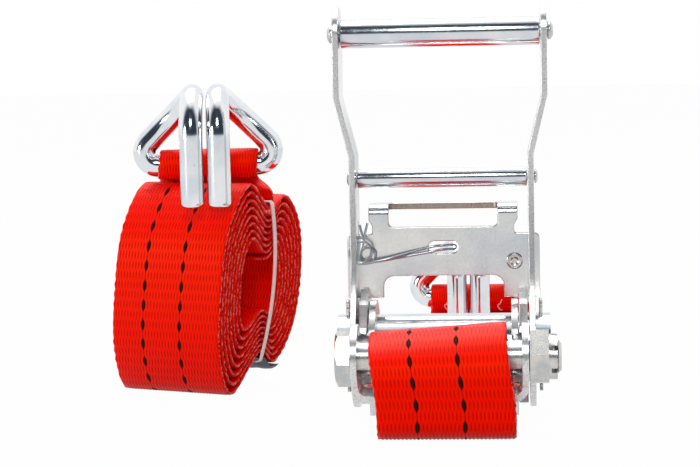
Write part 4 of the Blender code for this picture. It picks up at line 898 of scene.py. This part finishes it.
def woven(stations, section, upper_columns, lower_columns):
    """Closed band along stations; section gives the half width and the place function of each one."""
    ring = [(2 * k / upper_columns - 1, 1, 0) for k in range(upper_columns + 1)] + [(1, 0, 1)]
    ring += [(1 - 2 * k / lower_columns, -1, 0) for k in range(lower_columns + 1)] + [(-1, 0, 1)]
    around = len(ring)
    rows = len(stations) - 1
    bm = bmesh.new()
    across_layer = bm.verts.layers.float.new("across")
    along_layer = bm.verts.layers.float.new("along")
    rim_layer = bm.verts.layers.float.new("rim")
    bmesh.ops.create_grid(bm, x_segments=around, y_segments=rows, size=0.5)
    sections = [section(point) for _, point, _ in stations]
    for vert in bm.verts:
        share, side, edge = ring[round((vert.co.x + 0.5) * around) % around]
        row = round((vert.co.y + 0.5) * rows)
        distance, point, normal = stations[row]
        half, place = sections[row]
        wave = SCALLOP * math.cos(2 * math.pi * distance / SCALLOP_REPEAT + (share > 0))
        wave *= 0.6 + 0.4 * math.sin(2 * math.pi * distance / SCALLOP_SWELL + 2 * share)
        width = half - SELVEDGE + abs(share) ** 8 * wave + edge * SELVEDGE
        lift = side * (HALF_THICK - 0.25 * HALF_THICK * abs(share) ** 24)
        lift += side * RELIEF * lattice_at(share, distance)
        vert.co = place(share * width, point.x + normal.x * lift, point.y + normal.y * lift)
        vert[across_layer] = share * STRAP_WIDTH / 2
        vert[along_layer] = distance
        vert[rim_layer] = edge
    bmesh.ops.remove_doubles(bm, verts=bm.verts, dist=MERGE)
    ends = [edge for edge in bm.edges if edge.is_boundary]
    bmesh.ops.holes_fill(bm, edges=ends, sides=0)
    bmesh.ops.recalc_face_normals(bm, faces=bm.faces)
    return bm


# %% [markdown]
# ## Short strap
#
# The fixed end: sewn back on itself under the spindle, up over the bolt in a soft front loop, along the
# floor to the back, and through the rear hook. Its route repeats the CAD route in finer steps, with
# the same drift and turn in plan.

# %% Short strap
PLY_STEP = 0.0021
FLOOR_PLY_Z = 0.00075
SECOND_PLY_Z = 0.00285
BOLT_PLY_Z = 0.02085
LOOP_TOP = 0.0385
LOOP_FOOT = 0.008
INNER_ARC_REACH = 0.002
OUTER_ARC_REACH = 0.0016
SEWN_END_Y = 0.015
FOLD_Y = 0.250
HOOK_Y = 0.205
SHORT_END_Y = 0.240
HOOK_PLY_Z = 0.0111
HOOK_LOOP = 0.00575
REAR_HOOK_Z = 0.01685
HOOK_END_SLOPE = 35.0
HOOK_STRAP_WIDTH = 0.040
FRONT_SHIFT = 0.0026
MIDDLE_SHIFT = 0.0005
EASE_FRONT = -0.030
EASE_BACK = -0.014
TURN_START = 0.040
TURN_END = 0.100
GATHER_NEAR = 0.009
GATHER_FAR = 0.035
LOOP_SKEW = 0.07
SKEW_LOW = 0.022
SKEW_HIGH = 0.038
LOOP_DRIFT = -0.0032
DRIFT_LOW = 0.008
FINE_STEP = 0.001


def short_strap_path():
    """Side view of the short strap, from its sewn end round the bolt and back to its hook."""
    inner = (BOLT_PLY_Z - SECOND_PLY_Z) / 2
    back = (LOOP_TOP - BOLT_PLY_Z) / 2
    outer = (LOOP_TOP - FLOOR_PLY_Z) / 2
    fold = (HOOK_PLY_Z - FLOOR_PLY_Z) / 2
    path = [(SEWN_END_Y, SECOND_PLY_Z), (EASE_FRONT, SECOND_PLY_Z)]
    path += arc((BOLT_Y - INNER_ARC_REACH, SECOND_PLY_Z + inner), inner, 270.0, 90.0, 40)
    path += arc((BOLT_Y, BOLT_PLY_Z + back), back, -90.0, 90.0, 40)
    front = BOLT_Y - OUTER_ARC_REACH - outer
    path += arc((front + outer, LOOP_TOP - outer), outer, 90.0, 180.0, 40)
    path += arc((front + LOOP_FOOT, FLOOR_PLY_Z + LOOP_FOOT), LOOP_FOOT, 180.0, 270.0, 24)
    path += [(EASE_FRONT, FLOOR_PLY_Z)]
    path += arc((FOLD_Y, FLOOR_PLY_Z + fold), fold, -90.0, 90.0, 30)
    path += arc((HOOK_Y, REAR_HOOK_Z), HOOK_LOOP, -90.0, -270.0 - HOOK_END_SLOPE, 50)
    end_z = HOOK_PLY_Z + PLY_STEP
    leave_y, leave_z = path[-1]
    slope = math.tan(math.radians(HOOK_END_SLOPE))
    foot_y = leave_y + (leave_z - end_z) / slope
    tail = [path[-1], (foot_y - 1.5 * PLY_STEP, end_z + 1.5 * PLY_STEP * slope)]
    tail += [(foot_y, end_z + 0.25 * PLY_STEP), (foot_y + 2 * PLY_STEP, end_z), (SHORT_END_Y, end_z)]
    return path[:-1] + [tuple(p) for p in smooth_line(tail, 6)]


def rear_shift(y):
    """Sideways place of the short strap's middle, and its turn in plan, at a place along it."""
    shift = FRONT_SHIFT + (MIDDLE_SHIFT - FRONT_SHIFT) * ease(y, EASE_FRONT, EASE_BACK)
    bend = math.tan(math.radians(REAR_TURN)) / (2 * (TURN_END - TURN_START))
    curved = min(max(y, TURN_START), TURN_END) - TURN_START
    slope = 2 * bend * curved
    return shift + bend * curved ** 2 + slope * max(0.0, y - TURN_END), math.atan(slope)


def short_section(point):
    """Half width and place function of the short strap at a station."""
    half = STRAP_WIDTH / 2
    if point.x > TURN_END and point.y > FLOOR_PLY_Z + PLY_STEP:
        spread = ease(point.x - HOOK_Y, GATHER_NEAR, GATHER_FAR)
        half = (HOOK_STRAP_WIDTH + (STRAP_WIDTH - HOOK_STRAP_WIDTH) * spread) / 2
    shift, turn = rear_shift(point.x)
    skewed = point.x < 0
    if point.x < EASE_FRONT:
        shift += LOOP_DRIFT * ease(point.y, DRIFT_LOW, LOOP_TOP)

    def place(across, y, z):
        skew = min(1.0, max(0.0, (z - SKEW_LOW) / (SKEW_HIGH - SKEW_LOW)))
        lift = LOOP_SKEW * across * skew if skewed else 0.0
        offset = y - point.x
        return (
            shift + across * math.cos(turn) + offset * math.sin(turn),
            point.x - across * math.sin(turn) + offset * math.cos(turn),
            z + lift,
        )
    return half, place


def even_steps(length):
    """Evenly spaced distances along a path."""
    count = round(length / FINE_STEP)
    return [length * k / count for k in range(count + 1)]


short_stations = resampled(short_strap_path(), even_steps)
bm = woven(short_stations, short_section, WARP_COLUMNS, WARP_COLUMNS)
short_strap = add_piece("short_strap_woven", bm, [WEBBING], "short_strap", sharp=80.0)
print("short strap", round(short_stations[-1][0], 3), "m")

# %% [markdown]
# ## Stitching
#
# Both ends of the short strap are folded back and sewn down with thick white thread in zigzag rows.
# Each stitch is a short bowed thread that dips into the webbing at both ends, swept like the wires
# but with few faces, because there are many of them.

# %% Thread finish and stitches
THREAD = bpy.data.materials.new("bonded_polyester_thread")
THREAD.use_nodes = True
tree = THREAD.node_tree
shader = tree.nodes["Principled BSDF"]
shader.inputs["Roughness"].default_value = 0.5
place = add_node(tree, "TexCoord", {}).outputs["Object"]
twist = add_node(tree, "TexNoise", {"Vector": place, "Scale": 1 / (0.35 * MM), "Detail": 1.0})
colour = add_node(tree, "Mix", {0: twist.outputs[0], 6: linear("#D9CFCB"), 7: linear("#FFFEFC")},
                  data_type="RGBA")
tree.links.new(colour.outputs[2], shader.inputs["Base Color"])
THREAD_RADIUS = 0.00025
STITCH_LENGTH = 0.0034
ZIGZAG_HALF = 0.0011


def station_at(stations, distance):
    """The station nearest to a distance along a strap."""
    return min(stations, key=lambda station: abs(station[0] - distance))


def sewn(stations, section, side, rows):
    """White zigzag rows on one side of a strap, each at a share of its width between two distances."""
    sewing = bmesh.new()
    for share, start, end in rows:
        count = round((end - start) / STITCH_LENGTH)
        for k in range(count):
            line = []
            for j in range(5):
                reach = (j / 4 + k) / count
                distance, point, normal = station_at(stations, start + (end - start) * reach)
                half, place = section(point)
                zigzag = ZIGZAG_HALF * (j / 4 - 0.5) * (1 if k % 2 else -1) * 2
                hump = THREAD_RADIUS * (2.2 * math.sin(math.pi * j / 4) - 1.2)
                raised = point.to_2d() + normal * side * (HALF_THICK + RELIEF + hump)
                line.append(place(share * half + zigzag, raised.x, raised.y))
            stitch = swept(line, [THREAD_RADIUS] * 5, 6)
            mesh = bpy.data.meshes.new("stitch")
            stitch.to_mesh(mesh)
            stitch.free()
            sewing.from_mesh(mesh)
            bpy.data.meshes.remove(mesh)
    return sewing


short_length = short_stations[-1][0]
sewn_rows = [(share, short_length - 0.016, short_length - 0.002) for share in (-0.8, -0.4, 0.0, 0.4, 0.8)]
front_limit = HOOK_Y - 0.98 * HOOK_LOOP
loop_front = max(k for k, station in enumerate(short_stations) if station[1].x < front_limit)
front_distance = short_stations[loop_front][0]
sewn_rows += [(share, front_distance - 0.0075, front_distance - 0.001) for share in (-0.62, 0.66)]
bm = sewn(short_stations, short_section, 1, sewn_rows)
add_piece("rear_hook_stitching", bm, [THREAD], "short_strap", replace=False, sharp=80.0)
bolt_rows = [(share, 0.002, 0.030) for share in (-0.8, -0.4, 0.0, 0.4, 0.8)]
bm = sewn(short_stations, short_section, -1, bolt_rows)
add_piece("bolt_loop_stitching", bm, [THREAD], "short_strap", replace=False, sharp=80.0)

# %% [markdown]
# ## Hank of the long strap
#
# The long strap is wound on itself in eight loops that spiral outward, tied at the waist, with its tail
# brought up to its hook. Its outermost loop and tail are woven at full fineness, and the loops inside,
# of which only the edges show, in steps twice as long.

# %% Hank
HANK_OUTER = [
    (0.0355, 0.0755), (0.0490, 0.0825), (0.0640, 0.0690), (0.0690, 0.0450),
    (0.0645, 0.0220), (0.0500, 0.0085), (0.0355, 0.0150), (0.0140, 0.0004),
    (0.0015, 0.0180), (-0.0012, 0.0440), (0.0022, 0.0700), (0.0172, 0.0867),
]
HANK_INNER = [
    (0.0345, 0.0548), (0.0425, 0.0580), (0.0462, 0.0525), (0.0475, 0.0445),
    (0.0460, 0.0362), (0.0428, 0.0312), (0.0350, 0.0345), (0.0232, 0.0290),
    (0.0182, 0.0339), (0.0170, 0.0432), (0.0182, 0.0545), (0.0238, 0.0616),
]
HANK_LOOPS = 8
HANK_WRAP = 240.0
TAIL_FOLD = 0.0021
TWIST_RISE = 0.003
BAND_HIGH = 0.0785
STRAP_THICK = 0.0015
SPAN_STEPS = 16
FINE_TAIL = 0.42


def loop_point(points, t):
    """Point of the closed smooth curve through points, at t points along it."""
    count = len(points)
    k = math.floor(t)
    u = t - k
    p0, p1, p2, p3 = (Vector(points[(k + j) % count]) for j in (-1, 0, 1, 2))
    curve = 2 * p1 + (p2 - p0) * u + (2 * p0 - 5 * p1 + 4 * p2 - p3) * u ** 2
    return (curve + (3 * p1 - p0 - 3 * p2 + p3) * u ** 3) / 2


def hank_path():
    """Side view of the long strap as (y, z, tail): loops spiralling outward, then the tail."""
    last = HANK_LOOPS * len(HANK_OUTER) * SPAN_STEPS
    path = []
    for k in range(last + 1):
        t = k / SPAN_STEPS
        point = loop_point(HANK_INNER, t).lerp(loop_point(HANK_OUTER, t), k / last)
        path.append((point.x, max(point.y, STRAP_THICK / 2), 0.0))
    waist_y, waist_z, _ = path[-1]
    fold = arc((waist_y, waist_z + TAIL_FOLD), TAIL_FOLD, -90.0, 0.0, 14)[1:]
    tail_y, tail_z = fold[-1]
    back_y = HANK_HOOK_Y + HOOK_LOOP
    climb = []
    for k in range(1, 24):
        share = k / 24
        y = tail_y + (back_y - tail_y) * ease(share, 0.0, 1.0)
        climb.append((y, tail_z + (HANK_HOOK_Z - tail_z) * share))
    loop = arc((HANK_HOOK_Y, HANK_HOOK_Z), HOOK_LOOP, 0.0, HANK_WRAP, 50)
    return path + [(y, z, 1.0) for y, z in fold + climb + loop]


def hank_section(point):
    """Half width and place function of the long strap; its tail twists and gathers to enter its hook."""
    station_y, station_z, tail = point
    share = 0.0
    if tail > 0.5:
        share = 1.0
        if station_y > HANK_HOOK_Y:
            share = ease(station_z, BAND_HIGH + TWIST_RISE, HANK_HOOK_Z - HOOK_WIRE)
    half = (STRAP_WIDTH + (HOOK_STRAP_WIDTH - STRAP_WIDTH) * share) / 2
    turn = math.radians(HANK_HOOK_TURN) * share

    def place(across, y, z):
        back = y - HANK_HOOK_Y
        lean = HANK_LEAN * (station_z if tail > 0.5 else z)
        x = across * math.cos(turn) - back * math.sin(turn) + lean
        return hank_place @ Vector((x, HANK_HOOK_Y + across * math.sin(turn) + back * math.cos(turn), z))
    return half, place


def hank_steps(length):
    """Distances along the long strap: longer steps in the hidden loops, fine ones at the end."""
    coarse = round((length - FINE_TAIL) / (2 * FINE_STEP))
    fine = round(FINE_TAIL / FINE_STEP)
    inner = [(length - FINE_TAIL) * k / coarse for k in range(coarse)]
    return inner + [length - FINE_TAIL + FINE_TAIL * k / fine for k in range(fine + 1)]


hank_stations = resampled(hank_path(), hank_steps)
bm = woven(hank_stations, hank_section, WARP_COLUMNS, 13)
strap_hank = add_piece("strap_hank_woven", bm, [WEBBING], "strap_hank", sharp=80.0)
print("long strap", round(hank_stations[-1][0], 3), "m")

# %% [markdown]
# ## Tie band and label
#
# A narrow white elastic band holds the hank at its waist, and a grey cloth label is sewn under the back
# lobe; the label is left plain. Both are grids wrapped round their section like the straps.

# %% Band and label finishes
ELASTIC = bpy.data.materials.new("white_knitted_elastic")
ELASTIC.use_nodes = True
tree = ELASTIC.node_tree
shader = tree.nodes["Principled BSDF"]
shader.inputs["Roughness"].default_value = 0.62
place = add_node(tree, "TexCoord", {}).outputs["Object"]
ribs = add_node(tree, "TexWave", {"Vector": place, "Scale": 1 / (2 * math.pi * 0.16 * MM),
                                  "Distortion": 0.6}, bands_direction="Z")
# The rib hollows are coloured a darker, pinkish white than the rib tops: painted shade in the hollows.
colour = add_node(tree, "Mix", {0: ribs.outputs["Fac"], 6: linear("#F0E6E6"), 7: linear("#FFFDFC")},
                  data_type="RGBA")
tree.links.new(colour.outputs[2], shader.inputs["Base Color"])
bump = add_node(tree, "Bump", {"Height": ribs.outputs["Fac"], "Strength": 0.4, "Distance": 0.08 * MM})
tree.links.new(bump.outputs[0], shader.inputs["Normal"])

LABEL_CLOTH = bpy.data.materials.new("coated_label_cloth")
LABEL_CLOTH.use_nodes = True
tree = LABEL_CLOTH.node_tree
shader = tree.nodes["Principled BSDF"]
shader.inputs["Roughness"].default_value = 0.42
place = add_node(tree, "TexCoord", {}).outputs["Object"]
blue_grey_mottle = add_node(tree, "TexNoise", {"Vector": place, "Scale": 1 / (5.0 * MM), "Detail": 3.0})
threads = add_node(tree, "TexNoise", {"Vector": place, "Scale": 1 / (0.5 * MM), "Detail": 1.0})
# The cloth's blue-grey is mottled in soft patches about 5 mm across.
colour = add_node(tree, "Mix", {0: blue_grey_mottle.outputs[0], 6: linear("#303E50"), 7: linear("#4E5C6E")},
                  data_type="RGBA")
tree.links.new(colour.outputs[2], shader.inputs["Base Color"])
bump = add_node(tree, "Bump", {"Height": threads.outputs[0], "Strength": 0.3, "Distance": 0.06 * MM})
tree.links.new(bump.outputs[0], shader.inputs["Normal"])
print("band and label finishes")

# %% Tie band and label
BAND_WIDTH = 0.0024
BAND_THICK = 0.0008
BAND_Y = 0.0348
BAND_BULGE = 0.007
BAND_LOW = 0.0120
BAND_CORNER = 0.0008
BAND_SIDE = STRAP_WIDTH / 2 + FIT + BAND_THICK / 2
LABEL_THICK = 0.0008
LABEL_LEFT = -0.015
LABEL_RIGHT = 0.025
LABEL_START = 4.85
LABEL_SPAN = 0.85


def wrapped(around, rows, place, closed):
    """Grid wrapped into a closed section; place gives a point for its shares round and along."""
    bm = bmesh.new()
    bmesh.ops.create_grid(bm, x_segments=around, y_segments=rows, size=0.5)
    for vert in bm.verts:
        step = round((vert.co.x + 0.5) * around) % around
        row = round((vert.co.y + 0.5) * rows)
        vert.co = place(step / around, (row % rows if closed else row) / rows)
    bmesh.ops.remove_doubles(bm, verts=bm.verts, dist=MERGE)
    bmesh.ops.holes_fill(bm, edges=[edge for edge in bm.edges if edge.is_boundary], sides=0)
    bmesh.ops.recalc_face_normals(bm, faces=bm.faces)
    return bm


corners = [(-BAND_SIDE, BAND_LOW, BAND_CORNER), (BAND_SIDE, BAND_LOW, BAND_CORNER),
           (BAND_SIDE, BAND_HIGH, BAND_CORNER), (-BAND_SIDE, BAND_HIGH, BAND_CORNER)]
outline = rounded(corners)
outline_lengths = [0.0]
for near, far in zip(outline, outline[1:] + outline[:1]):
    outline_lengths.append(outline_lengths[-1] + (far - near).length)


def band_outline(share):
    """Point of the band's route round the waist, and its outward direction."""
    distance = share * outline_lengths[-1]
    k = max(j for j in range(len(outline)) if outline_lengths[j] <= distance + MERGE)
    near, far = outline[k], outline[(k + 1) % len(outline)]
    run = (far - near).normalized()
    return near + run * (distance - outline_lengths[k]), Vector((run.y, -run.x))


def band_place(round_share, along_share):
    """Point of the elastic band: a flat section with round edges, bowed back at its mid height."""
    point, out = band_outline(along_share)
    angle = 2 * math.pi * round_share
    wide = math.copysign(abs(math.cos(angle)) ** 0.5, math.cos(angle)) * BAND_WIDTH / 2
    thick = math.copysign(abs(math.sin(angle)) ** 0.6, math.sin(angle)) * BAND_THICK / 2
    height = (2 * point.y - BAND_LOW - BAND_HIGH) / (BAND_HIGH - BAND_LOW)
    y = BAND_Y + BAND_BULGE * (1.0 - min(1.0, height ** 2)) + wide
    x, z = point + out * thick
    return hank_place @ Vector((x + HANK_LEAN * z, y, z))


bm = wrapped(16, 240, band_place, True)
add_piece("hank_tie_band_elastic", bm, [ELASTIC], "hank_tie_band", sharp=80.0)


def label_place(round_share, along_share):
    """Point of the label: a thin cloth on the outermost loop under the back lobe."""
    t = LABEL_START + LABEL_SPAN * along_share
    point = loop_point(HANK_OUTER, t)
    ahead = (loop_point(HANK_OUTER, t + 0.05) - loop_point(HANK_OUTER, t - 0.05)).normalized()
    upper = round_share < 0.5
    share = 2 * round_share if upper else 2 - 2 * round_share
    across = LABEL_LEFT + (LABEL_RIGHT - LABEL_LEFT) * share
    stand = (STRAP_THICK + LABEL_THICK) / 2 + FIT + (0.5 if upper else -0.5) * 0.7 * LABEL_THICK
    stand += 0.00012 * math.sin(across * 900.0 + 5.0 * along_share)
    y = point.x - ahead.y * stand
    z = point.y + ahead.x * stand
    return hank_place @ Vector((across + HANK_LEAN * z, y, z))


bm = wrapped(64, 32, label_place, False)
add_piece("strap_label_cloth", bm, [LABEL_CLOTH], "strap_label", sharp=50.0)

# %% [markdown]
# ## End of the scene

# Fabric may stand a little proud of the CAD box and nothing else may.

# %% End
print("scene built")
